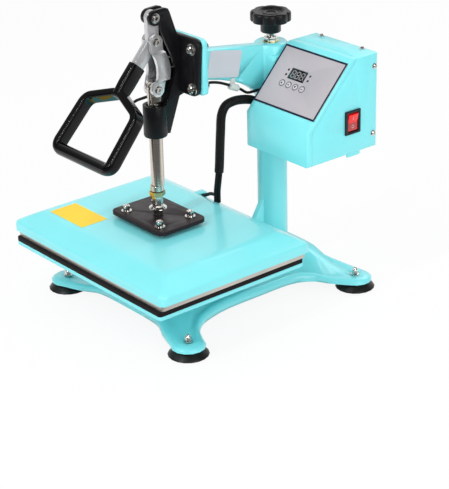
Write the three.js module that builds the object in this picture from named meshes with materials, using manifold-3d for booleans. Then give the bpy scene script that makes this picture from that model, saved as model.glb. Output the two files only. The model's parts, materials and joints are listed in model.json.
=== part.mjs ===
// Swing-away heat press with a toggle clamp, in millimetres, +Z up.
// The origin lies on the floor under the middle of the machine's length.
// +X is the operator's right and the operator stands on the -Y side.
import * as THREE from "three";
import { mergeVertices } from "three/addons/utils/BufferGeometryUtils.js";
import Module from "manifold-3d";

const wasm = await Module();
wasm.setup();

// Shared clearances, edge roundings and facet counts
const gap = 0.3;
const pinPlay = 0.3;
const overrun = 6;
const overlap = 1;
const weld = 1e-4;
const bevel = { fine: 0.5, plain: 1, cast: 1.5 };
const facets = { barrel: 24, round: 18, pin: 12, bolt: 10, hole: 8 };

// Driving dimensions of the platens
const platen = {
  width: 300, depth: 226, corner: 4, underside: 73, plate: 5, pad: 6, heater: 12, upperY: 3.5,
};
const cover = {
  sideMargin: 5, endMargin: 3.3, corner: 8, innerCorner: 1, wall: 1.5, lap: 4.2, rim: 11.8,
  bevelRun: 27, bevelRise: 14.8, edge: 2,
};
const coverShares = { corner: 0.2, crown: 0.3, crownDrop: 0.1 };
const hump = { x: -50, width: 12, depth: 16, height: 9, sunk: 3, corner: 2 };
const boss = { radius: 8, bore: 3.3, boreDepth: 14 };

// Driving dimensions of the base, its feet and its post
const stance = { sideInset: 24, frontInset: 59, rearReach: 31 };
const casting = {
  legHalfWidth: 21.7, legTop: 17, legUnderside: 11, edgeTop: 25, edgeUnderside: 14, wall: 6, waist: 86,
  roll: 4, crown: 9, groove: 15, grooveDepth: 3.2, rollDrop: 3, rib: 4, frontEdge: 4, rearEdge: 8,
};
const hub = { frontY: 45, frontCrest: 60, stepRun: 24, rearReach: 10, rearTop: 42, rearCrest: 32 };
const foot = { radius: 26, lip: 2.5, crown: 1.5, neck: 15, height: 10.7, bore: 3.4, boreDepth: 6.5 };
const footBolt = { radius: 2.6, washer: 5.4, washerHeight: 1.2, nut: 4.2, nutHeight: 5, dome: 4.6 };
const post = { y: 194, radius: 19.7, drop: 157, bore: 15.3, socketDepth: 12 };
const fin = { thickness: 8, rise: 54, run: 34, round: 3 };
const shaft = { radius: 15, drop: 97, chamfer: 1 };
const bearing = { radius: 14.8, height: 6.6, groove: 1 };
const bearingShares = [0.35, 0.5, 0.65];

// Driving dimensions of the toggle clamp
const plungerY = 5;
const pivotHeight = 383;
const crank = 29.5;
const linkLength = 60;
const pin = { radius: 4, head: 5.8, headHeight: 2 };
const lever = { thickness: 7, width: 16.5, eye: 9, neck: 73.3, neckDegrees: 48, end: 12.3 };
const grip = {
  barHalf: 5, barDepth: 8.5, gripHalf: 7.8, slopeDegrees: 48, shoulder: 20, length: 91.3,
  shoulderHalfWidth: 50.5, gripHalfWidth: 54, bend: 9, neckWidth: 11, neckHeight: 21, neckLength: 38, neckEdge: 2, sides: 12,
};
const link = { thickness: 5, width: 18, eye: 9, joggle: 3.7, bow: 8 };
const rod = { radius: 8.5, lift: 38.6, neck: 17.5, tongue: 7, eye: 9, boreDepth: 20, chamfer: 1, root: 2 };
const stud = {
  radius: 5.4, collar: 7, collarLift: 12.3, flangeRadius: 11.5, flange: 2, nut: 9.2, nutHeight: 5, insert: 18,
  chamfer: 1,
};
const lockNut = { radius: 11, height: 9.7 };
const bracket = {
  plate: 8, halfWidth: 45, footHalfWidth: 40, bottomDrop: 100, topDrop: 27, corner: 9, taper: 0.5,
  cheek: 4.5, ear: 9.4, guideRadius: 15, guideBore: 10.7, guideEdge: 3, guideFace: 0.9, heelLift: 2, heelRun: 16,
  shoulderLift: 5, shoulderRun: 14.4,
};
const bracketBolt = {
  spread: 34, upperDrop: 40, lowerDrop: 90, radius: 3.2, head: 5.8, headHeight: 4.2, washer: 7.4,
  washerHeight: 1.2, tail: 2,
};
const mountPlate = { width: 104, depth: 75, corner: 10, thickness: 5, lift: 5 };
const plateBolt = {
  x: 34, y: 24, radius: 3, head: 5.6, headHeight: 4, washer: 6.6, washerHeight: 1.2, spacer: 6, depth: 12,
};

// Driving dimensions of the swing arm and the pressure screw
const sleeve = { radius: 21.8, bore: 15.4, clearance: 0.4, topDrop: 70.7, cap: 12, chamfer: 2 };
const web = {
  thickness: 16, headTopDrop: 51, headBottomDrop: 94, tailTopDrop: 73, tailLift: 17, kneeY: 77,
  fillet: 14, crown: 11, rootDrop: 4,
};
const flange = { reach: 41.4, halfWidth: 45, bottomDrop: 99, topDrop: 28.5, thickness: 8, corner: 6 };
const boxPad = { width: 36, lift: 10, topDrop: 83, root: 6.5 };
const spindle = { radius: 5, chamfer: 1, nutRadius: 9.2, nutHeight: 6.7, hubBore: 12, headroom: 1.5 };
const knob = {
  radius: 24.6, valley: 21, lobes: 8, thickness: 9, edge: 1.5, hub: 12.2, hubHeight: 15, flare: 2,
  recess: 3, recessRadius: 15, recessSlope: 2, lobeSteps: 5,
};
const lobeShare = 0.7;
const screwTravel = 4.5;

// Driving dimensions of the control box and what is on it
const box = {
  left: 27, width: 115, frontReach: 66.6, depth: 117.2, bottomDrop: 186.8, height: 122.6,
  apron: 45.6, slopeRun: 72.4, wall: 1.5, fold: 3, lip: 7,
};
const backPanel = { flange: 10, corner: 2 };
const overlay = { x: 2, y: 16.2, width: 111.6, height: 83.4, corner: 3, thickness: 0.6 };
const display = { x: 34.4, y: 57.6, width: 28.6, height: 14.8, corner: 0.8, thickness: 2 };
const key = { radius: 3.1, height: 3.6, proud: 1, x: 31.2, y: 49.5, pitch: 12.1, count: 4 };
const rockerSwitch = {
  reach: 74.4, lift: 42.4, width: 26, height: 31, corner: 1.5, edge: 0.4, flange: 1.8, body: 21, bodyHeight: 26.5,
  bodyCorner: 1, depth: 18,
};
const rocker = {
  width: 16, radius: 11.6, inset: 3, pitchDegrees: 11, floor: 5, proud: 0.9, clearance: 3, wellCorner: 0.6,
};
const gland = { radius: 8, length: 6, reach: 23.6, lift: 49.8, bore: 6.2, tail: 3, wall: 1.4, floor: 4 };
const inlet = { x: 56, lift: 19.8, radius: 9, neck: 5.4, length: 9, bore: 4.2, tail: 4 };

// Driving dimensions of the wiring that the machine holds along its route
const heaterCable = { radius: 5.6, sides: 10, steps: 20 };
const sensorCable = { radius: 1.8, sides: 6, steps: 40 };
const clip = { y: 126, length: 9, radius: 3.6, tab: 12, tabThickness: 1.6, corner: 1, outward: 1.6, down: 0.8 };
const leverSwitch = { width: 6.4, length: 29.7, height: 27, corner: 1.5, lift: 17.5 };

// Levels and places worked out from the driving dimensions
const padTop = platen.underside + platen.plate + platen.pad;
const heaterBottom = padTop + gap;
const heaterTop = heaterBottom + platen.heater;
const rimBottom = heaterTop - cover.lap;
const rimTop = rimBottom + cover.rim;
const plateau = rimTop + cover.bevelRise;
const coverWidth = platen.width + 2 * cover.sideMargin;
const coverDepth = platen.depth + 2 * cover.endMargin;
const mountBottom = plateau + mountPlate.lift;
const mountTop = mountBottom + mountPlate.thickness;
const stanceHalfWidth = platen.width / 2 - stance.sideInset;
const frontFootY = stance.frontInset - platen.depth / 2;
const rearFootY = post.y + stance.rearReach;
const postTop = pivotHeight - post.drop;
const shaftTop = pivotHeight - shaft.drop;
const sleeveTop = pivotHeight - sleeve.topDrop;
const nutTop = sleeveTop + spindle.nutHeight;
const hubBottom = nutTop + screwTravel + spindle.headroom;
const spindleBottom = shaftTop + gap + bearing.height + gap;
const crankPinHeight = pivotHeight - crank;
const rodPinHeight = crankPinHeight - linkLength;
const rodBottom = mountTop + rod.lift;
const rodShoulder = rodPinHeight - rod.neck;
const guideShares = { bottom: 0.5127, top: 0.8376 };
const flangeY = plungerY + flange.reach;
const plateFront = flangeY - bracket.plate;
const boxFront = post.y - box.frontReach;
const boxBack = boxFront + box.depth;
const boxBottom = pivotHeight - box.bottomDrop;
const boxTop = boxBottom + box.height;
const glandAt = [boxFront + gland.reach, boxBottom + gland.lift];
const switchAt = [boxFront + rockerSwitch.reach, boxBottom + rockerSwitch.lift];
const slopeAngle = Math.atan2(box.height - box.apron, box.slopeRun);

// Materials
const paintTurquoise = new THREE.MeshStandardMaterial({ color: 0x86e2e6, roughness: 0.38, metalness: 0.0 });
const paintBlack = new THREE.MeshStandardMaterial({ color: 0x17181a, roughness: 0.45, metalness: 0.1 });
const vinylBlack = new THREE.MeshStandardMaterial({ color: 0x0e0f10, roughness: 0.25, metalness: 0.0 });
const rubberBlack = new THREE.MeshStandardMaterial({ color: 0x121212, roughness: 0.8, metalness: 0.0 });
const silicone = new THREE.MeshStandardMaterial({ color: 0x2a2224, roughness: 0.9, metalness: 0.0 });
const castAlloy = new THREE.MeshStandardMaterial({ color: 0xc9cccd, roughness: 0.4, metalness: 0.8 });
const brightSteel = new THREE.MeshStandardMaterial({ color: 0xd7d3cb, roughness: 0.22, metalness: 1.0 });
const aluminium = new THREE.MeshStandardMaterial({ color: 0xcfc6b8, roughness: 0.45, metalness: 0.9 });
const overlayGrey = new THREE.MeshStandardMaterial({ color: 0xb4bcc2, roughness: 0.5, metalness: 0.0 });
const smoked = new THREE.MeshStandardMaterial({ color: 0x2a0f12, roughness: 0.15, metalness: 0.0 });
const signalRed = new THREE.MeshStandardMaterial({ color: 0xd3221c, roughness: 0.3, metalness: 0.0 });
const keyGrey = new THREE.MeshStandardMaterial({ color: 0x4a5056, roughness: 0.5, metalness: 0.0 });
const nylonWhite = new THREE.MeshStandardMaterial({ color: 0xe6e6df, roughness: 0.5, metalness: 0.0 });

const press = new THREE.Group();

// Geometry helpers

// Welds a geometry, drops collapsed triangles and turns its faces outward.
function welded(geometry) {
  const bare = geometry.index ? geometry.toNonIndexed() : geometry.clone();
  bare.deleteAttribute("normal");
  bare.deleteAttribute("uv");
  const merged = mergeVertices(bare, weld);
  const index = merged.index.array;
  const kept = [];
  for (let i = 0; i < index.length; i += 3) {
    const [a, b, c] = [index[i], index[i + 1], index[i + 2]];
    if (a !== b && b !== c && c !== a) kept.push(a, b, c);
  }
  if (signedVolume(merged.attributes.position, kept) < 0) kept.reverse();
  merged.setIndex(kept);
  return merged;
}

function signedVolume(position, index) {
  const [a, b, c] = [new THREE.Vector3(), new THREE.Vector3(), new THREE.Vector3()];
  let volume = 0;
  for (let i = 0; i < index.length; i += 3) {
    a.fromBufferAttribute(position, index[i]);
    b.fromBufferAttribute(position, index[i + 1]);
    c.fromBufferAttribute(position, index[i + 2]);
    volume += a.dot(b.cross(c)) / 6;
  }
  return volume;
}

function solid(shape) {
  if (!shape.isBufferGeometry) return shape;
  const geometry = welded(shape);
  return new wasm.Manifold(new wasm.Mesh({
    numProp: 3,
    vertProperties: new Float32Array(geometry.attributes.position.array),
    triVerts: new Uint32Array(geometry.index.array),
  }));
}

const join = (...shapes) => shapes.map(solid).reduce((whole, next) => whole.add(next));
const cut = (shape, ...tools) => tools.map(solid).reduce((whole, tool) => whole.subtract(tool), solid(shape));
const common = (shape, other) => solid(shape).intersect(solid(other));

function geometryOf(shape) {
  if (shape.isBufferGeometry) return welded(shape);
  const mesh = shape.getMesh();
  const geometry = new THREE.BufferGeometry();
  const positions = new THREE.Float32BufferAttribute(Array.from(mesh.vertProperties), mesh.numProp);
  geometry.setAttribute("position", positions);
  geometry.setIndex(Array.from(mesh.triVerts));
  return geometry;
}

function addPiece(name, shape, material, parent = press) {
  const geometry = geometryOf(shape).toNonIndexed();
  geometry.computeVertexNormals();
  const mesh = new THREE.Mesh(geometry, material);
  mesh.name = name;
  parent.add(mesh);
  return mesh;
}

const X = new THREE.Vector3(1, 0, 0);
const Y = new THREE.Vector3(0, 1, 0);
const Z = new THREE.Vector3(0, 0, 1);
const sectionBasis = {
  X: new THREE.Matrix4().makeBasis(Y, Z, X),
  Y: new THREE.Matrix4().makeBasis(X, Z, Y.clone().negate()),
  Z: new THREE.Matrix4(),
};

// A straight prism along an axis. Sections are drawn as (y, z), (x, z) or (x, y).
function prism(axis, section, from, to, edge = 0, curveSegments = 3) {
  const geometry = new THREE.ExtrudeGeometry(section, {
    depth: to - from - 2 * edge, steps: 1, curveSegments,
    bevelEnabled: edge > 0, bevelSize: edge, bevelThickness: edge, bevelOffset: -edge,
    bevelSegments: edge > bevel.cast ? 2 : 1,
  });
  geometry.translate(0, 0, edge);
  geometry.applyMatrix4(sectionBasis[axis]);
  const shift = axis === "X" ? [from, 0, 0] : axis === "Y" ? [0, to, 0] : [0, 0, from];
  return geometry.translate(...shift);
}

// A cylinder along an axis, between two places on it
function cylinder(axis, radius, from, to, at, segments = facets.pin) {
  const geometry = new THREE.CylinderGeometry(radius, radius, to - from, segments);
  const middle = (from + to) / 2;
  if (axis === "X") return geometry.rotateZ(-Math.PI / 2).translate(middle, at[0], at[1]);
  if (axis === "Y") return geometry.translate(at[0], middle, at[1]);
  return geometry.rotateX(Math.PI / 2).translate(at[0], at[1], middle);
}

// A body of revolution about a vertical axis, from (radius, height) pairs
function revolve(profile, x, y, segments = facets.barrel) {
  const points = profile.map(([radius, height]) => new THREE.Vector2(radius, height));
  return new THREE.LatheGeometry(points, segments).rotateX(Math.PI / 2).translate(x, y, 0);
}

function polygon(points) {
  return new THREE.Shape(points.map(([u, v]) => new THREE.Vector2(u, v)));
}

function roundedRectangle(width, height, radius, u = 0, v = 0) {
  const [left, right, low, high] = [u - width / 2, u + width / 2, v - height / 2, v + height / 2];
  const shape = new THREE.Shape();
  shape.moveTo(left + radius, low).lineTo(right - radius, low);
  shape.absarc(right - radius, low + radius, radius, -Math.PI / 2, 0);
  shape.lineTo(right, high - radius).absarc(right - radius, high - radius, radius, 0, Math.PI / 2);
  shape.lineTo(left + radius, high).absarc(left + radius, high - radius, radius, Math.PI / 2, Math.PI);
  shape.lineTo(left, low + radius).absarc(left + radius, low + radius, radius, Math.PI, 1.5 * Math.PI);
  return shape;
}

function hexagon(radius, u = 0, v = 0) {
  const corners = Array.from({ length: 6 }, (_, i) => i * Math.PI / 3);
  return polygon(corners.map((angle) => [u + radius * Math.cos(angle), v + radius * Math.sin(angle)]));
}

// Closed skin over rings of equal point counts, capped at both ends unless it closes on itself
function skin(rings, closesOnItself = false) {
  const count = rings[0].length;
  const vertices = [];
  const face = (...corners) => corners.forEach((corner) => vertices.push(corner.x, corner.y, corner.z));
  const bands = closesOnItself ? rings.length : rings.length - 1;
  for (let k = 0; k < bands; k += 1) {
    const [lower, upper] = [rings[k], rings[(k + 1) % rings.length]];
    for (let i = 0; i < count; i += 1) {
      const j = (i + 1) % count;
      face(lower[i], lower[j], upper[j]);
      face(lower[i], upper[j], upper[i]);
    }
  }
  if (!closesOnItself) {
    const [first, last] = [rings[0], rings[rings.length - 1]];
    for (let i = 1; i < count - 1; i += 1) {
      face(first[0], first[i + 1], first[i]);
      face(last[0], last[i], last[i + 1]);
    }
  }
  const geometry = new THREE.BufferGeometry();
  geometry.setAttribute("position", new THREE.Float32BufferAttribute(vertices, 3));
  return geometry;
}

const mix = (from, to, share) => from + (to - from) * share;
const smooth = (from, to, value) => THREE.MathUtils.smoothstep(value, from, to);
const radians = THREE.MathUtils.degToRad;

// Base casting: a half section is carried round the outline, from the rolled edge in to the spine.

// Outline of the right half, as shares of the stance between the feet
const tipDegrees = { front: [-128, 52], rear: [-60, 105] };
const frontRunShares = [[0, 0], [0.35, 0], [0.52, 0.1], [0.66, 0.52]];
const sideRunShares = [
  [0.72, 0.1], [0.3, 0.16], [0.12, 0.24], [0, 0.355],
  [0, 0.534], [0.03, 0.72], [0.35, 0.82], [0.77, 0.87],
];
const rearRunShares = [[0.754, 0.66], [0.555, 0.23], [0.32, 0], [0, 0]];
const legSteps = { front: 8, deck: 2, ramp: 1, rear: 7, tip: 7 };
const sideLegShares = { hub: 0.444, stepTop: 0.561, stepFoot: 0.617, rearHub: 0.7 };

// Shares of a leg's length over which its groove, its rib and its deck come in
const grooveShares = [0.1, 0.35];
const ribShares = [0.14, 0.34];
const floorRoundShares = { rolled: 1 / 3, inner: 0.8, leg: 0.4 };
const frontForm = {
  top: platen.underside, crest: hub.frontCrest, rib: casting.rib, spreadShare: 0.7, fromShare: 0.36, toShare: 0.94,
};
const rearForm = {
  top: hub.rearTop, crest: hub.rearCrest, rib: 0, spreadShare: 0.9, fromShare: 0.08, toShare: 0.66,
};

function tipPoint(degrees, centreY) {
  const reach = new THREE.Vector2(Math.cos(radians(degrees)), Math.sin(radians(degrees)));
  return reach.multiplyScalar(casting.legHalfWidth).add(new THREE.Vector2(stanceHalfWidth, centreY));
}

const spineStop = (x, y, station, form) => ({ x, y, station, ...form });

function blendedStop(from, to, share) {
  return Object.fromEntries(Object.keys(from).map((name) => [name, mix(from[name], to[name], share)]));
}

// Walks from point to point along a smooth curve, with a stop on the spine for each step of the edge
function run(points, spine, legs, stops) {
  const curve = new THREE.SplineCurve(points);
  for (const [leg, { from, to, steps }] of legs.entries()) {
    for (let i = leg === 0 ? 0 : 1; i <= steps; i += 1) {
      const edge = curve.getPoint(mix(from, to, i / steps));
      stops.push({ edge, ...blendedStop(spine[leg], spine[leg + 1], i / steps) });
    }
  }
}

function roundTip([from, to], end, stops) {
  for (let i = 1; i < legSteps.tip; i += 1) {
    stops.push({ edge: tipPoint(mix(from, to, i / legSteps.tip), end.y), ...end });
  }
}

function baseStops() {
  const wide = stanceHalfWidth;
  const tips = {
    frontIn: tipPoint(tipDegrees.front[0], frontFootY), frontOut: tipPoint(tipDegrees.front[1], frontFootY),
    rearIn: tipPoint(tipDegrees.rear[0], rearFootY), rearOut: tipPoint(tipDegrees.rear[1], rearFootY),
  };
  const frontEdgeY = frontFootY + casting.frontEdge;
  const rearEdgeY = rearFootY + casting.rearEdge;
  const across = ([u, v], edgeY, tipY) => new THREE.Vector2(u * wide, mix(edgeY, tipY, v));
  const along = ([u, v]) => new THREE.Vector2(mix(casting.waist, wide, u), mix(frontFootY, rearFootY, v));
  const front = [...frontRunShares.map((share) => across(share, frontEdgeY, tips.frontIn.y)), tips.frontIn];
  const side = [tips.frontOut, ...sideRunShares.map(along), tips.rearIn];
  const rear = [tips.rearOut, ...rearRunShares.map((share) => across(share, rearEdgeY, tips.rearOut.y))];
  const plateEnd = platen.depth / 2 + overlap;
  const frontEnd = spineStop(wide, frontFootY, 0, frontForm);
  const rearEnd = spineStop(wide, rearFootY, 0, rearForm);
  const frontHub = spineStop(0, hub.frontY, 1, frontForm);
  const stepTop = spineStop(0, plateEnd, 1, frontForm);
  const stepFoot = spineStop(0, plateEnd + hub.stepRun, 1, rearForm);
  const rearHub = spineStop(0, post.y - hub.rearReach, 1, rearForm);
  const stops = [];
  const { hub: hubShare, stepTop: topShare, stepFoot: footShare, rearHub: rearShare } = sideLegShares;
  run(front, [frontHub, frontEnd], [{ from: 0, to: 1, steps: legSteps.front }], stops);
  roundTip(tipDegrees.front, frontEnd, stops);
  run(side, [frontEnd, frontHub, stepTop, stepFoot, rearHub, rearEnd], [
    { from: 0, to: hubShare, steps: legSteps.front }, { from: hubShare, to: topShare, steps: legSteps.deck },
    { from: topShare, to: footShare, steps: legSteps.ramp }, { from: footShare, to: rearShare, steps: legSteps.deck },
    { from: rearShare, to: 1, steps: legSteps.rear },
  ], stops);
  roundTip(tipDegrees.rear, rearEnd, stops);
  run(rear, [rearEnd, rearHub], [{ from: 0, to: 1, steps: legSteps.rear }], stops);
  return stops;
}

// Upper and lower heights of the casting from its rolled edge to the spine
function baseSection({ edge, x, y, station, top, crest, rib, spreadShare, fromShare, toShare }) {
  const spine = new THREE.Vector2(x, y);
  const reach = edge.distanceTo(spine);
  const rise = smooth(0, 1, station);
  const lip = mix(casting.legTop, casting.edgeTop, rise);
  const under = mix(casting.legUnderside, casting.edgeUnderside, rise);
  const groove = lip - casting.grooveDepth * smooth(...grooveShares, station);
  const deck = top - casting.legTop - rib;
  const ridge = casting.legTop + rib * smooth(...ribShares, station) + deck * smooth(fromShare, toShare, station);
  const crestReach = Math.min((reach - casting.groove) * mix(floorRoundShares.leg, spreadShare, rise), crest);
  const shoulder = reach - crestReach;
  const innerShoulder = Math.min(shoulder + casting.wall, mix(shoulder, reach, floorRoundShares.inner));
  const rounding = (1 - rise) * casting.rollDrop * floorRoundShares.rolled;
  const at = (inset, height) => {
    const flat = edge.clone().lerp(spine, Math.min(inset / reach, 1));
    return new THREE.Vector3(flat.x, flat.y, height);
  };
  const floor = (height) => Math.max(height - casting.wall, under);
  return [
    at(reach, ridge), at(shoulder, ridge - rounding), at(casting.groove, groove), at(casting.crown, lip),
    at(casting.roll, lip), at(0, lip - casting.rollDrop), at(0, under), at(casting.wall, under),
    at(casting.groove, floor(groove)), at(innerShoulder, floor(ridge - rounding)), at(reach, floor(ridge)),
  ];
}

function baseCasting() {
  const right = baseStops().map(baseSection);
  const mirrored = right.map((section) => section.map((point) => new THREE.Vector3(-point.x, point.y, point.z)));
  const around = [...right, ...mirrored.reverse().slice(1, -1)];
  const shell = new THREE.BufferGeometry();
  const vertices = [];
  const face = (...corners) => corners.forEach((corner) => vertices.push(corner.x, corner.y, corner.z));
  for (let i = 0; i < around.length; i += 1) {
    const [here, next] = [around[i], around[(i + 1) % around.length]];
    for (let k = 0; k + 1 < here.length; k += 1) {
      face(here[k], next[k], next[k + 1]);
      face(here[k], next[k + 1], here[k + 1]);
    }
  }
  shell.setAttribute("position", new THREE.Float32BufferAttribute(vertices, 3));
  const bores = footPlaces().map(({ x, y }) =>
    cylinder("Z", foot.bore, -overrun, platen.underside, [x, y], facets.hole));
  return cut(shell, ...bores);
}

function footPlaces() {
  const places = [];
  for (const [row, y] of [["front", frontFootY], ["rear", rearFootY]]) {
    for (const [side, x] of [["right", stanceHalfWidth], ["left", -stanceHalfWidth]]) {
      places.push({ name: `${row}_${side}`, x, y });
    }
  }
  return places;
}

function addBase() {
  addPiece("base_casting", baseCasting(), paintTurquoise);
  for (const { name, x, y } of footPlaces()) {
    const rubber = revolve([
      [0, 0], [foot.radius - foot.lip, 0], [foot.radius, foot.lip / 2],
      [foot.radius - foot.lip, foot.lip + foot.crown], [foot.neck + foot.lip, foot.height - foot.lip],
      [foot.neck, foot.height], [foot.bore, foot.height], [foot.bore, foot.height - foot.boreDepth],
      [0, foot.height - foot.boreDepth],
    ], x, y, facets.round);
    addPiece(`foot_${name}`, rubber, rubberBlack);
    addPiece(`foot_bolt_${name}`, acornBolt(x, y), brightSteel);
  }
}

// Stud with a washer and a domed nut, standing in a leg
const domeShares = [[0.8, 0], [0.55, 0.75], [0, 1]];

function acornBolt(x, y) {
  const bottom = foot.height - foot.boreDepth + gap;
  const seat = casting.legTop + gap;
  const nutFoot = seat + footBolt.washerHeight;
  const nutHead = nutFoot + footBolt.nutHeight;
  const dome = domeShares.map(([out, up]) => [footBolt.nut * out, nutHead + footBolt.dome * up]);
  const body = revolve([
    [0, bottom], [footBolt.radius, bottom], [footBolt.radius, seat], [footBolt.washer, seat],
    [footBolt.washer, nutFoot], [dome[0][0], nutFoot], ...dome,
  ], x, y, facets.bolt);
  return join(body, prism("Z", hexagon(footBolt.nut, x, y), nutFoot - footBolt.washerHeight / 2, nutHead));
}

// Fixed post: a painted tube with a fin towards the operator, and the bright shaft the arm turns on
function addPost() {
  const deck = hub.rearTop;
  const tube = cylinder("Z", post.radius, deck, postTop, [0, post.y], facets.barrel);
  const inside = post.y - post.radius / 2;
  const front = post.y - post.radius;
  const finTop = deck + fin.rise;
  const finOutline = polygon([
    [front - fin.run, deck], [inside, deck], [inside, finTop + fin.round],
    [front, finTop + fin.round], [front - fin.round, finTop - fin.round],
  ]);
  const rib = prism("X", finOutline, -fin.thickness / 2, fin.thickness / 2);
  const bore = cylinder("Z", post.bore, deck + post.socketDepth, postTop + overrun, [0, post.y], facets.barrel);
  addPiece("post_tube", cut(join(tube, rib), bore), paintTurquoise);
  const shaftBottom = deck + post.socketDepth + gap;
  addPiece("pivot_shaft", revolve([
    [0, shaftBottom], [shaft.radius - shaft.chamfer, shaftBottom], [shaft.radius, shaftBottom + shaft.chamfer],
    [shaft.radius, shaftTop - shaft.chamfer], [shaft.radius - shaft.chamfer, shaftTop], [0, shaftTop],
  ], 0, post.y), brightSteel);
  const race = shaftTop + gap;
  const [grooveLow, grooveMiddle, grooveHigh] = bearingShares.map((share) => race + bearing.height * share);
  addPiece("thrust_bearing", revolve([
    [0, race], [bearing.radius, race], [bearing.radius, grooveLow], [bearing.radius - bearing.groove, grooveMiddle],
    [bearing.radius, grooveHigh], [bearing.radius, race + bearing.height], [0, race + bearing.height],
  ], 0, post.y), brightSteel);
}

function addLowerPlaten() {
  const outline = roundedRectangle(platen.width, platen.depth, platen.corner);
  const plateTop = platen.underside + platen.plate;
  addPiece("lower_plate", prism("Z", outline, platen.underside, plateTop), paintTurquoise);
  addPiece("silicone_pad", prism("Z", outline, plateTop, padTop), silicone);
}

// Swing arm: sleeve, web, flange and the pad that carries the control box, in one casting
const sagShare = 0.62;

function armWeb() {
  const [headTop, headBottom] = [pivotHeight - web.headTopDrop, pivotHeight - web.headBottomDrop];
  const [tailTop, tailBottom] = [pivotHeight - web.tailTopDrop, postTop + web.tailLift];
  const [front, plateBack] = [flangeY, flangeY + flange.thickness];
  const slope = (headTop - tailTop) / (post.y - front);
  const barrelFront = post.y - sleeve.radius;
  const outline = new THREE.Shape();
  outline.moveTo(front, headBottom);
  outline.lineTo(web.kneeY, headBottom);
  outline.quadraticCurveTo(mix(web.kneeY, post.y, sagShare), headBottom - web.fillet, barrelFront, tailBottom);
  outline.lineTo(post.y, tailBottom);
  outline.lineTo(post.y, tailTop);
  outline.lineTo(plateBack + web.fillet, headTop - slope * (flange.thickness + web.fillet));
  outline.quadraticCurveTo(plateBack, headTop, plateBack, headTop + web.crown);
  outline.lineTo(front, headTop + web.crown);
  return prism("X", outline, -web.thickness / 2, web.thickness / 2, bevel.cast, 5);
}

// Widening of the web into the flange, seen from above
function armRoot() {
  const [back, half] = [flangeY + flange.thickness, web.thickness / 2];
  const outline = new THREE.Shape();
  outline.moveTo(-half - web.fillet, back - overlap).lineTo(half + web.fillet, back - overlap);
  outline.quadraticCurveTo(half, back, half, back + web.fillet);
  outline.lineTo(-half, back + web.fillet);
  outline.quadraticCurveTo(-half, back, -half - web.fillet, back - overlap);
  return prism("Z", outline, pivotHeight - web.headBottomDrop, pivotHeight - web.headTopDrop - web.rootDrop);
}

function addSwingArm() {
  const axis = [0, post.y];
  const sleeveBottom = postTop + sleeve.clearance;
  const boreTop = sleeveTop - sleeve.cap;
  const barrel = revolve([
    [0, sleeveBottom], [sleeve.radius, sleeveBottom], [sleeve.radius, sleeveTop - sleeve.chamfer],
    [sleeve.radius - sleeve.chamfer, sleeveTop], [0, sleeveTop],
  ], 0, post.y);
  const plateOutline = roundedRectangle(2 * flange.halfWidth, flange.bottomDrop - flange.topDrop, flange.corner,
    0, pivotHeight - (flange.topDrop + flange.bottomDrop) / 2);
  const face = prism("Y", plateOutline, flangeY, flangeY + flange.thickness, bevel.plain);
  const [padBottom, padHeadTop] = [postTop + boxPad.lift, pivotHeight - boxPad.topDrop];
  const padOutline = roundedRectangle(boxPad.width, padHeadTop - padBottom, flange.corner,
    post.y, (padBottom + padHeadTop) / 2);
  const pad = prism("X", padOutline, boxPad.root, box.left - gap);
  const body = join(barrel, armWeb(), face, armRoot(), pad);
  const bore = cylinder("Z", sleeve.bore, sleeveBottom - overrun, boreTop, axis, facets.barrel);
  const screwHole = cylinder("Z", spindle.radius + pinPlay, boreTop - overlap, sleeveTop + overrun, axis);
  const holes = boltPlaces().map((at) => cylinder("Y", bracketBolt.radius + pinPlay,
    flangeY - overrun, flangeY + flange.thickness + overrun, at, facets.hole));
  addPiece("swing_arm", cut(body, bore, screwHole, ...holes), paintTurquoise);
}

function boltPlaces() {
  const { spread } = bracketBolt;
  const [upper, lower] = [pivotHeight - bracketBolt.upperDrop, pivotHeight - bracketBolt.lowerDrop];
  return [[spread, upper], [-spread, upper], [spread, lower], [-spread, lower]];
}

// Pressure screw: a threaded spindle that bears on the shaft, its nut on the arm and the star knob
function addPressureScrew() {
  const axis = [0, post.y];
  const nut = cut(prism("Z", hexagon(spindle.nutRadius, ...axis), sleeveTop, nutTop),
    cylinder("Z", spindle.radius + pinPlay, sleeveTop - overrun, nutTop + overrun, axis));
  addPiece("spindle_nut", nut, brightSteel);
  const top = hubBottom + spindle.hubBore;
  const { radius, chamfer } = spindle;
  addPiece("pressure_spindle", revolve([
    [0, spindleBottom], [radius - chamfer, spindleBottom], [radius, spindleBottom + chamfer],
    [radius, top - chamfer], [radius - chamfer, top], [0, top],
  ], 0, post.y, facets.pin), brightSteel);
  addPiece("pressure_knob", starKnob(top + gap), vinylBlack);
}

function starKnob(boreTop) {
  const steps = knob.lobes * knob.lobeSteps;
  const outline = Array.from({ length: steps }, (_, i) => {
    const angle = (i / steps) * 2 * Math.PI;
    const swell = Math.pow(Math.abs(Math.cos((knob.lobes / 2) * angle)), lobeShare);
    const radius = mix(knob.valley, knob.radius, swell);
    return [radius * Math.cos(angle), post.y + radius * Math.sin(angle)];
  });
  const rimFoot = hubBottom + knob.hubHeight;
  const top = rimFoot + knob.thickness;
  const star = prism("Z", polygon(outline), rimFoot, top, knob.edge);
  const hubBody = revolve([
    [0, hubBottom], [knob.hub - bevel.plain, hubBottom], [knob.hub, hubBottom + bevel.plain],
    [knob.hub, rimFoot - knob.flare], [knob.hub + knob.flare, rimFoot + knob.flare], [0, rimFoot + knob.flare],
  ], 0, post.y, facets.round);
  const dish = revolve([
    [0, top - knob.recess], [knob.recessRadius - knob.recessSlope, top - knob.recess],
    [knob.recessRadius, top + overrun], [0, top + overrun],
  ], 0, post.y, facets.round);
  const bore = cylinder("Z", spindle.radius + pinPlay, hubBottom - overrun, boreTop, [0, post.y]);
  return cut(join(star, hubBody), dish, bore);
}

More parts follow.
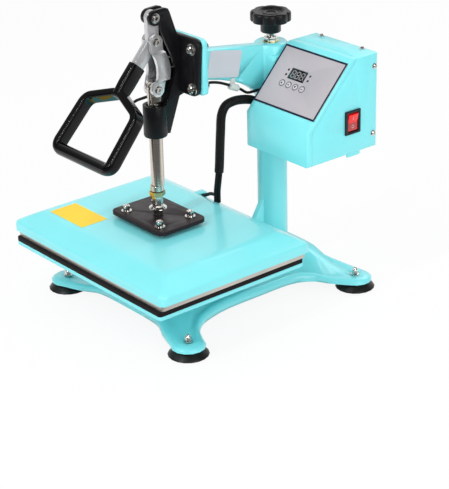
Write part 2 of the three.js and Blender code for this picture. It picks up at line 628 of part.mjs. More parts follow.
// Toggle bracket: bolted plate, two cheeks with ears for the lever pin, and the guide of the plunger.
// The side view is drawn in shares: forward to back from the plunger to the plate, upward from pin to pin.
const cheekBackShares = [[1, 0.654], [0.79, 0.885], [0.644, 1.045], [0.572, 1.095], [0.42, 1.112]];
const cheekFrontShares = [[0.269, 0.81], [0.449, 0.631], [0.719, 0.408], [0.853, 0.196]];
const bridgeTopShare = 0.09;
const guideInsetShare = 0.75;

function bracketPlate() {
  const [low, high] = [pivotHeight - bracket.bottomDrop, pivotHeight - bracket.topDrop];
  const { corner, taper, halfWidth, footHalfWidth } = bracket;
  const outline = new THREE.Shape();
  outline.moveTo(-footHalfWidth + corner, low).lineTo(footHalfWidth - corner, low);
  outline.quadraticCurveTo(footHalfWidth, low, footHalfWidth + taper, low + corner);
  outline.lineTo(halfWidth, high - corner).quadraticCurveTo(halfWidth, high, halfWidth - corner, high);
  outline.lineTo(-halfWidth + corner, high).quadraticCurveTo(-halfWidth, high, -halfWidth, high - corner);
  outline.lineTo(-footHalfWidth - taper, low + corner);
  outline.quadraticCurveTo(-footHalfWidth, low, -footHalfWidth + corner, low);
  return prism("Y", outline, plateFront, flangeY, bevel.plain);
}

function bracketPoint([back, up]) {
  return [mix(plungerY, plateFront, back), mix(rodPinHeight, pivotHeight, up)];
}

// Lower edge shared by the cheeks and the bridge between them: onto the guide, down it and back to the plate
function guideSide() {
  const inside = plungerY + bracket.guideRadius * guideInsetShare;
  const [guideBottom, guideTop] = [guideLevel(guideShares.bottom), guideLevel(guideShares.top)];
  return [
    [plungerY + bracket.shoulderRun, guideTop + bracket.shoulderLift], [inside, guideTop],
    [inside, guideBottom + bracket.guideEdge],
    [plungerY + bracket.heelRun, guideBottom + bracket.heelLift],
    [plateFront + overlap, pivotHeight - bracket.bottomDrop + bevel.plain],
  ];
}

const guideLevel = (share) => mix(rodBottom, rodPinHeight, share);

function cheekOutline() {
  const corner = bracket.ear * Math.SQRT1_2;
  const top = bracketPoint(cheekBackShares[0]);
  return polygon([
    [plateFront + overlap, top[1]], ...cheekBackShares.map(bracketPoint), [plungerY, pivotHeight + bracket.ear],
    [plungerY, pivotHeight], [plungerY + corner, pivotHeight - corner],
    ...cheekFrontShares.map(bracketPoint), ...guideSide(),
  ]);
}

function bridgeOutline() {
  const [, upper] = bracketPoint([1, bridgeTopShare]);
  return polygon([[plateFront + overlap, upper], [plateFront, upper], ...guideSide()]);
}

function addToggleBracket() {
  const inner = lever.thickness / 2 + 2 * gap;
  const outer = inner + bracket.cheek;
  const axle = [plungerY, pivotHeight];
  const ears = [[inner, outer], [-outer, -inner]].map(([from, to]) => join(
    cylinder("X", bracket.ear, from, to, axle, facets.round), prism("X", cheekOutline(), from, to)));
  const bridge = prism("X", bridgeOutline(), -inner - overlap, inner + overlap);
  const [guideBottom, guideTop] = [guideLevel(guideShares.bottom), guideLevel(guideShares.top)];
  const { guideRadius, guideEdge, guideFace } = bracket;
  const guide = revolve([
    [0, guideBottom], [guideRadius - guideEdge, guideBottom], [guideRadius - guideFace, guideBottom + guideFace],
    [guideRadius, guideBottom + guideEdge], [guideRadius, guideTop], [0, guideTop],
  ], 0, plungerY);
  const bore = cylinder("Z", bracket.guideBore, guideBottom - overrun, guideTop + overrun, [0, plungerY], facets.barrel);
  const pinHole = cylinder("X", pin.radius + pinPlay, -outer - overrun, outer + overrun, axle);
  const holes = boltPlaces().map((at) => cylinder("Y", bracketBolt.radius + pinPlay,
    plateFront - overrun, flangeY + overrun, at, facets.hole));
  const body = join(bracketPlate(), ...ears, bridge, guide);
  addPiece("toggle_bracket", cut(body, bore, pinHole, ...holes), paintBlack);

  for (const [index, at] of boltPlaces().entries()) {
    addPiece(`bracket_bolt_${index + 1}`, bracketBoltSolid(at), brightSteel);
  }
  addPiece("lever_pivot_pin", headedPin(outer + gap, pivotHeight), brightSteel);
}

function bracketBoltSolid(at) {
  const back = flangeY + flange.thickness;
  const { radius, head, headHeight, washer, washerHeight, tail } = bracketBolt;
  const [seat, nutSeat] = [plateFront - washerHeight, back + washerHeight];
  return join(
    cylinder("Y", radius, seat - headHeight / 2, nutSeat + headHeight + tail, at, facets.hole),
    cylinder("Y", washer, seat, plateFront, at, facets.bolt),
    cylinder("Y", washer, back, nutSeat, at, facets.bolt),
    prism("Y", hexagon(head, ...at), seat - headHeight, seat),
    prism("Y", hexagon(head, ...at), nutSeat, nutSeat + headHeight),
  );
}

// A pin across the toggle with a head on either side
function headedPin(shoulder, height) {
  const end = shoulder + pin.headHeight;
  const at = [plungerY, height];
  return join(
    cylinder("X", pin.radius, -end, end, at),
    cylinder("X", pin.head, shoulder, end, at),
    cylinder("X", pin.head, -end, -shoulder, at),
  );
}

// Lever: a flat cast bar from the pivot past the crank pin and down into the dipped loop handle
function directionDown(degrees) {
  return new THREE.Vector2(-Math.cos(radians(degrees)), -Math.sin(radians(degrees)));
}

const neckDirection = directionDown(lever.neckDegrees);
const crankPin = new THREE.Vector2(plungerY, crankPinHeight);
const apex = crankPin.clone().addScaledVector(neckDirection, lever.neck);

// A straight bar in the side view, from a point along a direction, by half widths at its two ends
function slab(from, direction, length, halfFrom, halfTo, halfThickness, edge = 0) {
  const side = new THREE.Vector2(-direction.y, direction.x);
  const to = from.clone().addScaledVector(direction, length);
  const corners = [[from, halfFrom], [to, halfTo], [to, -halfTo], [from, -halfFrom]];
  const outline = polygon(corners.map(([point, half]) => {
    const corner = point.clone().addScaledVector(side, half);
    return [corner.x, corner.y];
  }));
  return prism("X", outline, -halfThickness, halfThickness, edge);
}

function leverBar() {
  const [half, wide] = [lever.thickness / 2, lever.width / 2];
  const heights = [pivotHeight, crankPinHeight];
  const eyes = heights.map((height) => cylinder("X", lever.eye, -half, half, [plungerY, height], facets.round));
  const shank = slab(new THREE.Vector2(plungerY, pivotHeight), new THREE.Vector2(0, -1), crank, wide, wide, half);
  const arm = slab(crankPin, neckDirection, lever.neck - lever.end, wide, wide, half);
  const holes = heights.map((height) =>
    cylinder("X", pin.radius + pinPlay, -half - overrun, half + overrun, [plungerY, height]));
  return cut(join(...eyes, shank, arm), ...holes);
}

// Corners of the loop in the sloping plane of the handle, with the roundness of the bar before and after
function loopCorners() {
  const along = directionDown(grip.slopeDegrees);
  const place = (across, reach) => new THREE.Vector3(across, apex.x + along.x * reach, apex.y + along.y * reach);
  const { shoulderHalfWidth, gripHalfWidth, shoulder, length } = grip;
  return [
    { at: place(0, 0), roundness: [0, 0] }, { at: place(shoulderHalfWidth, shoulder), roundness: [0, 0] },
    { at: place(gripHalfWidth, length), roundness: [0, 1] }, { at: place(-gripHalfWidth, length), roundness: [1, 0] },
    { at: place(-shoulderHalfWidth, shoulder), roundness: [0, 0] },
  ];
}

const bendSteps = 4;
const flatnessShares = { bar: 0.36, grip: 1 };

// Closed loop of bar, flat-sided at the sides and the top and round where the hand holds it
function handleLoop() {
  const normal = new THREE.Vector3(0, 1, 0).applyAxisAngle(X, radians(90 + grip.slopeDegrees)).normalize();
  const corners = loopCorners();
  const path = corners.flatMap(({ at, roundness }, i) => {
    const before = corners[(i + corners.length - 1) % corners.length].at.clone().sub(at).normalize();
    const after = corners[(i + 1) % corners.length].at.clone().sub(at).normalize();
    const bend = new THREE.QuadraticBezierCurve3(
      at.clone().addScaledVector(before, grip.bend), at, at.clone().addScaledVector(after, grip.bend));
    return bend.getPoints(bendSteps).map((point, step) => ({ point, round: mix(...roundness, step / bendSteps) }));
  });
  const rings = path.map(({ point, round }, i) => {
    const [next, last] = [path[(i + 1) % path.length].point, path[(i + path.length - 1) % path.length].point];
    const sideways = new THREE.Vector3().crossVectors(next.clone().sub(last), normal).normalize();
    const [halfWidth, halfDepth] = [mix(grip.barHalf, grip.gripHalf, round), mix(grip.barDepth, grip.gripHalf, round)];
    const power = mix(flatnessShares.bar, flatnessShares.grip, round);
    const bulge = (value) => Math.sign(value) * Math.pow(Math.abs(value), power);
    return Array.from({ length: grip.sides }, (_, k) => {
      const angle = (k / grip.sides) * 2 * Math.PI;
      return point.clone()
        .addScaledVector(sideways, halfWidth * bulge(Math.cos(angle)))
        .addScaledVector(normal, halfDepth * bulge(Math.sin(angle)));
    });
  });
  return skin(rings, true);
}

function handleGrip() {
  const [neckHalf, barHalf] = [grip.neckHeight / 2, lever.width / 2 + gap];
  const neckStart = apex.clone().addScaledVector(neckDirection, -grip.neckLength);
  const neck = slab(neckStart, neckDirection, grip.neckLength, neckHalf, neckHalf, grip.neckWidth / 2, grip.neckEdge);
  const root = slab(apex.clone().addScaledVector(neckDirection, -grip.barHalf), neckDirection, 2 * grip.barHalf,
    neckHalf - grip.neckEdge / 2, grip.barDepth - overlap, grip.neckWidth / 2, overlap);
  const pocketStart = neckStart.clone().addScaledVector(neckDirection, -overrun);
  const pocketLength = grip.neckLength + overrun - lever.end + gap;
  const pocket = slab(pocketStart, neckDirection, pocketLength, barHalf, barHalf, lever.thickness / 2 + gap);
  return cut(join(handleLoop(), neck, root), pocket);
}

// Stations down a link: share of its length, share of the joggle and share of the bow
const linkShares = [
  [0, 0, 0], [0.19, 0, 0.05], [0.23, 1, 0.2], [0.35, 1, 0.6], [0.5, 1, 0.92],
  [0.62, 1, 1], [0.74, 1, 0.9], [0.81, 1, 0.75], [0.85, 0, 0.3], [1, 0, 0],
];

// One joggled link: flat eyes against the lever and the rod, and a bowed middle that stands outward
function toggleLink(side) {
  const inner = lever.thickness / 2 + 2 * gap;
  const [top, bottom] = [crankPinHeight, rodPinHeight];
  const rings = linkShares.map(([down, joggle, bow]) => {
    const [height, middle] = [mix(top, bottom, down), plungerY + bow * link.bow];
    const near = inner + joggle * link.joggle;
    const far = near + link.thickness;
    const [front, back] = [middle - link.width / 2, middle + link.width / 2];
    return [[near, front], [far, front], [far, back], [near, back]].map(([x, y]) =>
      new THREE.Vector3(side * x, y, height));
  });
  const span = side > 0 ? [inner, inner + link.thickness] : [-inner - link.thickness, -inner];
  const outside = inner + link.thickness + link.joggle + overrun;
  const eyes = [top, bottom].map((height) => cylinder("X", link.eye, ...span, [plungerY, height], facets.round));
  const holes = [top, bottom].map((height) =>
    cylinder("X", pin.radius + pinPlay, -outside, outside, [plungerY, height]));
  return cut(join(skin(rings), ...eyes), ...holes);
}

function addLinkage() {
  const shoulder = lever.thickness / 2 + 2 * gap + link.thickness + gap;
  addPiece("lever_bar", leverBar(), castAlloy);
  addPiece("handle_grip", handleGrip(), vinylBlack);
  addPiece("link_pin_upper", headedPin(shoulder, crankPinHeight), brightSteel);
  addPiece("link_pin_lower", headedPin(shoulder, rodPinHeight), brightSteel);
  addPiece("link_right", toggleLink(1), castAlloy);
  addPiece("link_left", toggleLink(-1), castAlloy);
}

// Plunger: a round rod with a flat tongue, screwed on a stud that stands on the mounting plate
function plungerRod() {
  const [half, face] = [rod.tongue / 2, rod.radius - rod.chamfer];
  const shank = revolve([
    [0, rodBottom], [face, rodBottom], [rod.radius, rodBottom + rod.chamfer],
    [rod.radius, rodShoulder - rod.chamfer], [face, rodShoulder], [0, rodShoulder],
  ], 0, plungerY);
  const tongue = prism("X", polygon([
    [plungerY - face, rodShoulder - rod.root], [plungerY + face, rodShoulder - rod.root],
    [plungerY + rod.eye, rodPinHeight], [plungerY - rod.eye, rodPinHeight],
  ]), -half, half);
  const eye = cylinder("X", rod.eye, -half, half, [plungerY, rodPinHeight], facets.round);
  const bore = cylinder("Z", stud.radius + pinPlay, rodBottom - overrun, rodBottom + rod.boreDepth, [0, plungerY]);
  const hole = cylinder("X", pin.radius + pinPlay, -half - overrun, half + overrun, [plungerY, rodPinHeight]);
  return cut(join(shank, tongue, eye), bore, hole);
}

function adjustingStud() {
  const flangeBottom = mountTop + stud.collarLift;
  const flangeTop = flangeBottom + stud.flange;
  const studNutTop = flangeTop + stud.nutHeight;
  const neck = stud.nut * domeShares[0][0];
  const top = rodBottom + stud.insert;
  const { radius, collar, flangeRadius, chamfer } = stud;
  const screw = revolve([
    [0, mountTop], [collar, mountTop], [collar, flangeBottom], [flangeRadius, flangeBottom],
    [flangeRadius - chamfer, flangeTop], [neck, flangeTop], [neck, studNutTop],
    [radius, studNutTop], [radius, top - chamfer], [radius - chamfer, top], [0, top],
  ], 0, plungerY, facets.round);
  return join(screw, prism("Z", hexagon(stud.nut, 0, plungerY), flangeTop - overlap, studNutTop));
}

function addPlunger() {
  addPiece("plunger_rod", plungerRod(), brightSteel);
  const nutBottom = rodBottom - gap - lockNut.height;
  const thread = cylinder("Z", stud.radius + pinPlay, nutBottom - overrun, rodBottom + overrun, [0, plungerY]);
  const nut = prism("Z", hexagon(lockNut.radius, 0, plungerY), nutBottom, rodBottom - gap);
  addPiece("lock_nut", cut(nut, thread), brightSteel);
  addPiece("adjusting_stud", adjustingStud(), brightSteel);
}

// Upper platen: mounting plate on spacers, pressed cover and the heated plate under it
function plateBoltPlaces() {
  const { x, y } = plateBolt;
  return [[x, y], [-x, y], [x, -y], [-x, -y]].map(([u, v]) => [u, platen.upperY + v]);
}

function plateBoltSolid(at) {
  const washerTop = mountTop + plateBolt.washerHeight;
  return join(
    cylinder("Z", plateBolt.radius, plateau - plateBolt.depth, washerTop + plateBolt.headHeight / 2, at, facets.hole),
    cylinder("Z", plateBolt.spacer, plateau, mountBottom, at, facets.bolt),
    cylinder("Z", plateBolt.washer, mountTop, washerTop, at, facets.bolt),
    prism("Z", hexagon(plateBolt.head, ...at), washerTop, washerTop + plateBolt.headHeight),
  );
}

function addUpperPlaten() {
  const places = plateBoltPlaces();
  const plate = prism("Z",
    roundedRectangle(mountPlate.width, mountPlate.depth, mountPlate.corner, 0, platen.upperY),
    mountBottom, mountTop, bevel.fine);
  const shankHoles = places.map((at) =>
    cylinder("Z", plateBolt.radius + pinPlay, rimTop, mountTop + overrun, at, facets.hole));
  addPiece("mounting_plate", cut(plate, ...shankHoles), paintBlack);
  for (const [index, at] of places.entries()) {
    addPiece(`plate_bolt_${index + 1}`, plateBoltSolid(at), brightSteel);
  }

  const heater = prism("Z", roundedRectangle(platen.width, platen.depth, platen.corner, 0, platen.upperY),
    heaterBottom, heaterTop);
  const bossTop = plateau - cover.wall - gap;
  const bosses = places.map((at) => cylinder("Z", boss.radius, heaterTop - overlap, bossTop, at, facets.bolt));
  const bossBores = places.map((at) =>
    cylinder("Z", boss.bore, bossTop - boss.boreDepth, bossTop + overrun, at, facets.hole));
  addPiece("heating_platen", cut(join(heater, ...bosses), ...bossBores), aluminium);
  addPiece("platen_cover", cut(join(coverShell(), coverHump()), ...shankHoles), paintTurquoise);
}

const ringSteps = 3;

function rectangleRing(width, depth, corner, height) {
  const points = [];
  for (const [u, v, from] of [[1, -1, -90], [1, 1, 0], [-1, 1, 90], [-1, -1, 180]]) {
    for (let i = 0; i <= ringSteps; i += 1) {
      const angle = radians(from + 90 * i / ringSteps);
      points.push(new THREE.Vector3(
        u * (width / 2 - corner) + corner * Math.cos(angle),
        platen.upperY + v * (depth / 2 - corner) + corner * Math.sin(angle), height));
    }
  }
  return points;
}

function coverShell() {
  const { corner, innerCorner, wall, bevelRun, edge } = cover;
  const drop = edge * cover.bevelRise / bevelRun;
  const ring = (inset, height) => rectangleRing(coverWidth - 2 * inset, coverDepth - 2 * inset,
    Math.max(corner - inset * coverShares.corner, innerCorner), height);
  return skin([
    ring(bevelRun + wall * coverShares.corner, plateau - wall), ring(edge + wall / 2, rimTop + drop - wall),
    ring(wall, rimTop - edge - wall * coverShares.crown), ring(wall, rimBottom), ring(0, rimBottom),
    ring(0, rimTop - edge), ring(edge * coverShares.crown, rimTop - edge * coverShares.crownDrop),
    ring(edge, rimTop + drop), ring(bevelRun, plateau),
  ]);
}

// Small raised box on the back edge of the cover, where the sensor wires enter
function coverHump() {
  const middle = platen.upperY + (coverDepth - cover.wall - hump.depth) / 2;
  const outline = roundedRectangle(hump.width, hump.depth, hump.corner, hump.x, middle);
  return prism("Z", outline, rimTop - hump.sunk, rimTop + hump.height, bevel.plain);
}

// Control box: a front tray with the slope, the housing behind it and the back panel.
// In the side view the flat faces move in by an inset and the front and slope by a setback.
function boxOutline(inset, setback) {
  const climb = setback / Math.cos(slopeAngle);
  const [front, low, high] = [boxFront + setback, boxBottom + inset, boxTop - inset];
  const back = inset === 0 ? boxBack : boxBack + overrun;
  const apronTop = boxBottom + box.apron - climb;
  const frontTop = apronTop + (front - boxFront) * Math.tan(slopeAngle);
  const slopeEnd = boxFront + (high - apronTop) / Math.tan(slopeAngle);
  return polygon([[back, low], [back, high], [slopeEnd, high], [front, frontTop], [front, low]]);
}

function addControlBox() {
  const [left, right] = [box.left, box.left + box.width];
  const outside = prism("X", boxOutline(0, 0), left, right, box.fold);
  const inside = prism("X", boxOutline(box.wall, box.wall), left + box.wall, right - box.wall);
  const shell = cut(outside, inside);
  const behindLip = prism("X", boxOutline(-overrun, box.lip), left - overrun, right + overrun);
  const behindSeam = prism("X", boxOutline(-overrun, box.lip + gap), left - overrun, right + overrun);
  const slopeTools = [displayHole(), ...keyHoles()].map((tool) => tool.applyMatrix4(slopeMatrix()));
  addPiece("control_box_front", cut(shell, behindLip, ...slopeTools), paintTurquoise);

  const { body, bodyHeight, bodyCorner } = rockerSwitch;
  const switchOutline = roundedRectangle(body + 2 * gap, bodyHeight + 2 * gap, bodyCorner, ...switchAt);
  const switchHole = prism("X", switchOutline, right - box.wall - overrun, right + overrun);
  const cableHole = cylinder("X", gland.bore, left - overrun, left + box.wall + overlap, glandAt);
  addPiece("control_box_housing", cut(common(shell, behindSeam), switchHole, cableHole), paintTurquoise);
  addPiece("control_box_back", backPanelSolid(left, right), paintTurquoise);
  addSlopePieces();
  addSwitch(right);
  addGlands(left);
}

// Tray-shaped back panel, its flanges inside the housing
function backPanelSolid(left, right) {
  const inset = box.wall + gap;
  const [width, height] = [right - left - 2 * inset, box.height - 2 * inset];
  const middle = [(left + right) / 2, (boxBottom + boxTop) / 2];
  const { flange: depth, corner } = backPanel;
  const plate = prism("Y", roundedRectangle(width, height, corner, ...middle), boxBack - depth, boxBack);
  const hollow = prism("Y", roundedRectangle(width - 2 * box.wall, height - 2 * box.wall, corner, ...middle),
    boxBack - depth - overrun, boxBack - box.wall);
  const hole = cylinder("Y", inlet.neck + gap, boxBack - overrun, boxBack + overrun, [inlet.x, boxBottom + inlet.lift]);
  return cut(plate, hollow, hole);
}

function slopeMatrix() {
  return new THREE.Matrix4().makeRotationX(slopeAngle).setPosition(box.left, boxFront, boxBottom + box.apron);
}

function displayHole() {
  const { x, y, width, height } = display;
  const outline = roundedRectangle(width + 2 * gap, height + 2 * gap, display.corner, x + width / 2, y + height / 2);
  return prism("Z", outline, -overrun, overrun);
}

function keyPlaces() {
  return Array.from({ length: key.count }, (_, i) => [key.x + i * key.pitch, key.y]);
}

function keyHoles() {
  return keyPlaces().map((at) => cylinder("Z", key.radius + gap, -overrun, overrun, at, facets.bolt));
}

// Membrane, display and keys on the slope, in a group turned into its plane
function addSlopePieces() {
  const panel = new THREE.Group();
  panel.applyMatrix4(slopeMatrix());
  press.add(panel);
  const { x, y, width, height, corner, thickness } = overlay;
  const film = prism("Z", roundedRectangle(width, height, corner, x + width / 2, y + height / 2), gap, gap + thickness);
  addPiece("control_overlay", cut(film, displayHole(), ...keyHoles()), overlayGrey, panel);
  const lens = prism("Z", roundedRectangle(display.width, display.height, display.corner,
    display.x + display.width / 2, display.y + display.height / 2), -box.wall, display.thickness - box.wall);
  addPiece("display_window", lens, smoked, panel);
  for (const [index, at] of keyPlaces().entries()) {
    const cap = cylinder("Z", key.radius, key.proud - key.height, key.proud + gap, at, facets.bolt);
    addPiece(`key_${index + 1}`, cap, keyGrey, panel);
  }
}

function addSwitch(right) {
  const { width, height, corner, edge, flange: lip, body, bodyHeight, bodyCorner, depth } = rockerSwitch;
  const bezel = prism("X", roundedRectangle(width, height, corner, ...switchAt), right, right + lip, edge);
  const shell = prism("X", roundedRectangle(body, bodyHeight, bodyCorner, ...switchAt), right - depth, right + lip / 2);
  const [wellWidth, wellHeight] = [rocker.width + 2 * gap, 2 * rocker.radius + 4 * gap];
  const wellOutline = roundedRectangle(wellWidth, wellHeight, rocker.wellCorner, ...switchAt);
  const well = prism("X", wellOutline, right - rocker.inset - rocker.floor - rocker.clearance, right + overrun);
  addPiece("switch_housing", cut(join(bezel, shell), well), rubberBlack);
  addPiece("switch_rocker", rockerSolid(right), signalRed);
}

// Rocker: a drum about its pivot, planed to two faces that meet in a shallow valley
function rockerSolid(right) {
  const [y, z] = switchAt;
  const pivot = right - rocker.inset;
  const drum = cylinder("Y", rocker.radius, y - rocker.width / 2, y + rocker.width / 2, [pivot, z], facets.barrel);
  const reach = 2 * rocker.radius;
  const valley = right + rocker.proud;
  const rise = Math.tan(radians(rocker.pitchDegrees)) * reach;
  const outline = polygon([
    [pivot - rocker.floor, z - reach], [valley, z - reach], [valley, z],
    [valley + rise, z + reach], [pivot - rocker.floor, z + reach],
  ]);
  return common(drum, prism("Y", outline, y - rocker.width, y + rocker.width));
}

function addGlands(left) {
  const outerEnd = left - gland.length;
  const innerEnd = left + box.wall + gland.tail;
  const heaterGland = cut(
    join(cylinder("X", gland.radius, outerEnd, left - gap, glandAt),
      cylinder("X", gland.bore - gap, outerEnd, innerEnd, glandAt)),
    cylinder("X", heaterCable.radius - gland.wall, outerEnd + gland.floor, innerEnd + overrun, glandAt),
  );
  addPiece("heater_gland", heaterGland, rubberBlack);
  const powerAt = [inlet.x, boxBottom + inlet.lift];
  const end = boxBack + inlet.length;
  const powerGland = cut(
    join(cylinder("Y", inlet.radius, boxBack + gap, end, powerAt),
      cylinder("Y", inlet.neck, boxBack - box.wall - inlet.tail, end, powerAt)),
    cylinder("Y", inlet.bore, boxBack - 2 * overrun, end + overrun, powerAt),
  );
  addPiece("power_gland", powerGland, rubberBlack);
}

// Wiring held by the arm: the sleeved heater cable, the thin switch cable, its clip and the lever switch.
// Heights on the heater's route are shares of the climb from the cover's top to the gland in the box.
const heaterRouteShares = [
  [20.6, 151, 1], [18.6, 150.9, 1.0008], [14.4, 147, 1.0157], [12, 136, 1.0353], [10.6, 121, 1.0432],
  [9.5, 109, 1.0157], [8.8, 103, 0.9372], [8, 101, 0.7565], [7, 100, 0.5601], [5.5, 99.5, 0.3637],
  [2, 100, 0.2145], [-4, 103, 0.0888], [-8, 106, -0.0086],
];

// The third values of the thin cable's route are drops below the lever's pivot
const sensorRouteDrops = [
  [26.5, 167, 121], [24, 166.8, 121], [16, 156, 124], [12, 143, 125], [10.6, 134, 119], [10.3, 124, 113.5],
  [10.3, 112, 107.5], [10.2, 96, 101], [10.2, 80, 98], [6, 66, 102], [-6, 56, 107], [-20, 44, 121],
  [-30, 30, 137], [-36, 14, 145], [-40, 3, 139], [-40, -1, 127], [-35, -0.5, 115], [-25, 10, 108.5],
  [-17.6, 15, 104.5], [-16.8, 15.4, 99.5],
];
const clipStop = 5;

const heaterRoute = heaterRouteShares.map(([x, y, share]) => new THREE.Vector3(x, y, mix(plateau, glandAt[1], share)));
const sensorRoute = sensorRouteDrops.map(([x, y, drop]) => new THREE.Vector3(x, y, pivotHeight - drop));

function tubeAlong(route, radius, sides, steps) {
  const curve = new THREE.CatmullRomCurve3(route, false, "centripetal");
  const corners = Array.from({ length: sides }, (_, i) => (i / sides) * 2 * Math.PI);
  const section = polygon(corners.map((angle) => [radius * Math.cos(angle), radius * Math.sin(angle)]));
  return new THREE.ExtrudeGeometry(section, { steps, extrudePath: curve, bevelEnabled: false, curveSegments: 1 });
}

function addWiring() {
  const { radius, sides, steps } = sensorCable;
  addPiece("heater_cable", tubeAlong(heaterRoute, heaterCable.radius, heaterCable.sides, heaterCable.steps), rubberBlack);
  addPiece("sensor_cable", tubeAlong(sensorRoute, radius, sides, steps), rubberBlack);
  addPiece("cable_clip", cableClip(), nylonWhite);
  const { width, length, height, corner, lift } = leverSwitch;
  const outer = lever.thickness / 2 + 2 * gap + link.thickness + link.joggle + 2 * gap;
  const outline = roundedRectangle(length, height, corner, plateFront - gap - length / 2, rodPinHeight + lift - height / 2);
  addPiece("lever_switch", prism("X", outline, -outer - width, -outer), rubberBlack);
}

function cableClip() {
  const { x, z } = sensorRoute[clipStop];
  const face = web.thickness / 2;
  const [from, to] = [clip.y - clip.length / 2, clip.y + clip.length / 2];
  const ring = cylinder("Y", clip.radius, from, to, [x + clip.outward, z - clip.down]);
  const tab = prism("X", roundedRectangle(clip.length, clip.tab, clip.corner, clip.y, z + clip.tab / 2),
    face + gap, face + gap + clip.tabThickness);
  const behindFace = prism("X", roundedRectangle(2 * clip.length, 4 * clip.tab, clip.corner, clip.y, z),
    -overrun, face + gap);
  const passage = tubeAlong(sensorRoute, sensorCable.radius + gap, sensorCable.sides, sensorCable.steps);
  return cut(join(ring, tab), behindFace, passage);
}

addBase();
addPost();
addLowerPlaten();
addSwingArm();
addPressureScrew();
addToggleBracket();
addLinkage();
addPlunger();
addUpperPlaten();
addControlBox();
addWiring();

// The whole machine is centred over its origin, midway between the cover's front and the power gland
press.position.y = -mix(platen.upperY - coverDepth / 2, boxBack + inlet.length, 0.5);

export default press;
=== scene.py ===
"""Swing-away heat press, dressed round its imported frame.

Lengths are metres in the row frame: +X is the operator's right, +Y points away
from the operator and +Z is up. Sizes in the classes are millimetres, measured
from the floor under the middle of the padded bed, and angles are degrees.
"""

from __future__ import annotations

import json
import logging
import math
from collections.abc import Iterable, Sequence
from dataclasses import dataclass
from enum import Enum

import bmesh
import bpy
from mathutils import Matrix, Vector

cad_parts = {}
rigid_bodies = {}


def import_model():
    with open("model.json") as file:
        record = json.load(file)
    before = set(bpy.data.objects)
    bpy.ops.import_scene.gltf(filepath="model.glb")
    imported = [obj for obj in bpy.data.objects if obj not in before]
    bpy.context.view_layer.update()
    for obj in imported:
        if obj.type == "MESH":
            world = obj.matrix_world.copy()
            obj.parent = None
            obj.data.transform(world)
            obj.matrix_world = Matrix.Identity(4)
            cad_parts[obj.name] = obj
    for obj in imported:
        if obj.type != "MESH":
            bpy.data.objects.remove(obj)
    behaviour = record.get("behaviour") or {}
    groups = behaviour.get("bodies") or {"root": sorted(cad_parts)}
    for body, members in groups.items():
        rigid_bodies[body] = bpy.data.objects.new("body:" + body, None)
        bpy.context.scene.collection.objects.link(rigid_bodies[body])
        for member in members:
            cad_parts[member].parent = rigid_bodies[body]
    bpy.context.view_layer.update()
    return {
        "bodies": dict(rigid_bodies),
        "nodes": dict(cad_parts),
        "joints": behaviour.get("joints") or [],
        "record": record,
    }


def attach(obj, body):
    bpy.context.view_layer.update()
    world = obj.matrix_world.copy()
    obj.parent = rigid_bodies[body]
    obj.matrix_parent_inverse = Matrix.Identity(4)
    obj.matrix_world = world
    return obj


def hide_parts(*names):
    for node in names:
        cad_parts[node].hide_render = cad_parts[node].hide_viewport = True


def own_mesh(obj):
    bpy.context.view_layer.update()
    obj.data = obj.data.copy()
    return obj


LOG = logging.getLogger("heat_press")

MILLIMETRE = 0.001
BED_TO_ORIGIN = -70.4
RIGHT, AWAY, UP = Vector((1, 0, 0)), Vector((0, 1, 0)), Vector((0, 0, 1))
MERGE_M = 1e-7
PACKED_MERGE_M = 2e-6
TIP_M = 1e-9
FLAT_DEGREES = 0.6
BEVEL_DEGREES = 50.0
LEAST_ROUGHNESS = 0.02
PATH_STEP = 3.0
CURVE_STEPS = 12
PART_SIZES = ("Radius", "Height", "Base")
SIX_SIDED = ("Socket", "Nut")

Colour = tuple[float, float, float]
Pair = tuple[float, float]
Point = tuple[float, float, float]
Place = tuple[Vector, Vector]
Part = tuple[str, float, float, float]
Socket = bpy.types.NodeSocket


def mm(x: float, y: float, z: float) -> Vector:
    """Turns millimetres measured from under the bed's middle into row-frame metres."""
    return Vector((x, y + BED_TO_ORIGIN, z)) * MILLIMETRE


def linked(name: str, data: bpy.types.ID) -> bpy.types.Object:
    """Makes an object of the data and puts it in the scene.

    Args:
        name: the object's name.
        data: a mesh, a lamp or a camera.

    Returns:
        The object.
    """
    made = bpy.data.objects.new(name, data)
    bpy.context.scene.collection.objects.link(made)
    return made


class Slot(Enum):
    """Material slots of the record."""

    TURQUOISE = "turquoise_paint"
    BLACK_PAINT = "black_paint"
    VINYL = "vinyl"
    RUBBER = "black_rubber"
    SILICONE = "silicone"
    CAST = "cast_alloy"
    STEEL = "bright_steel"
    ALUMINIUM = "platen_aluminium"
    PANEL = "panel_grey"
    SMOKED = "smoked"
    RED = "signal_red"
    KEY = "key_grey"
    NYLON = "nylon_white"


class Grain(Enum):
    """How a finish's fine relief lies."""

    SPECKLED = (1.0, 1.0, 1.0)
    TURNED = (1.0, 1.0, 14.0)
    DRAWN_ALONG_X = (0.06, 1.0, 1.0)


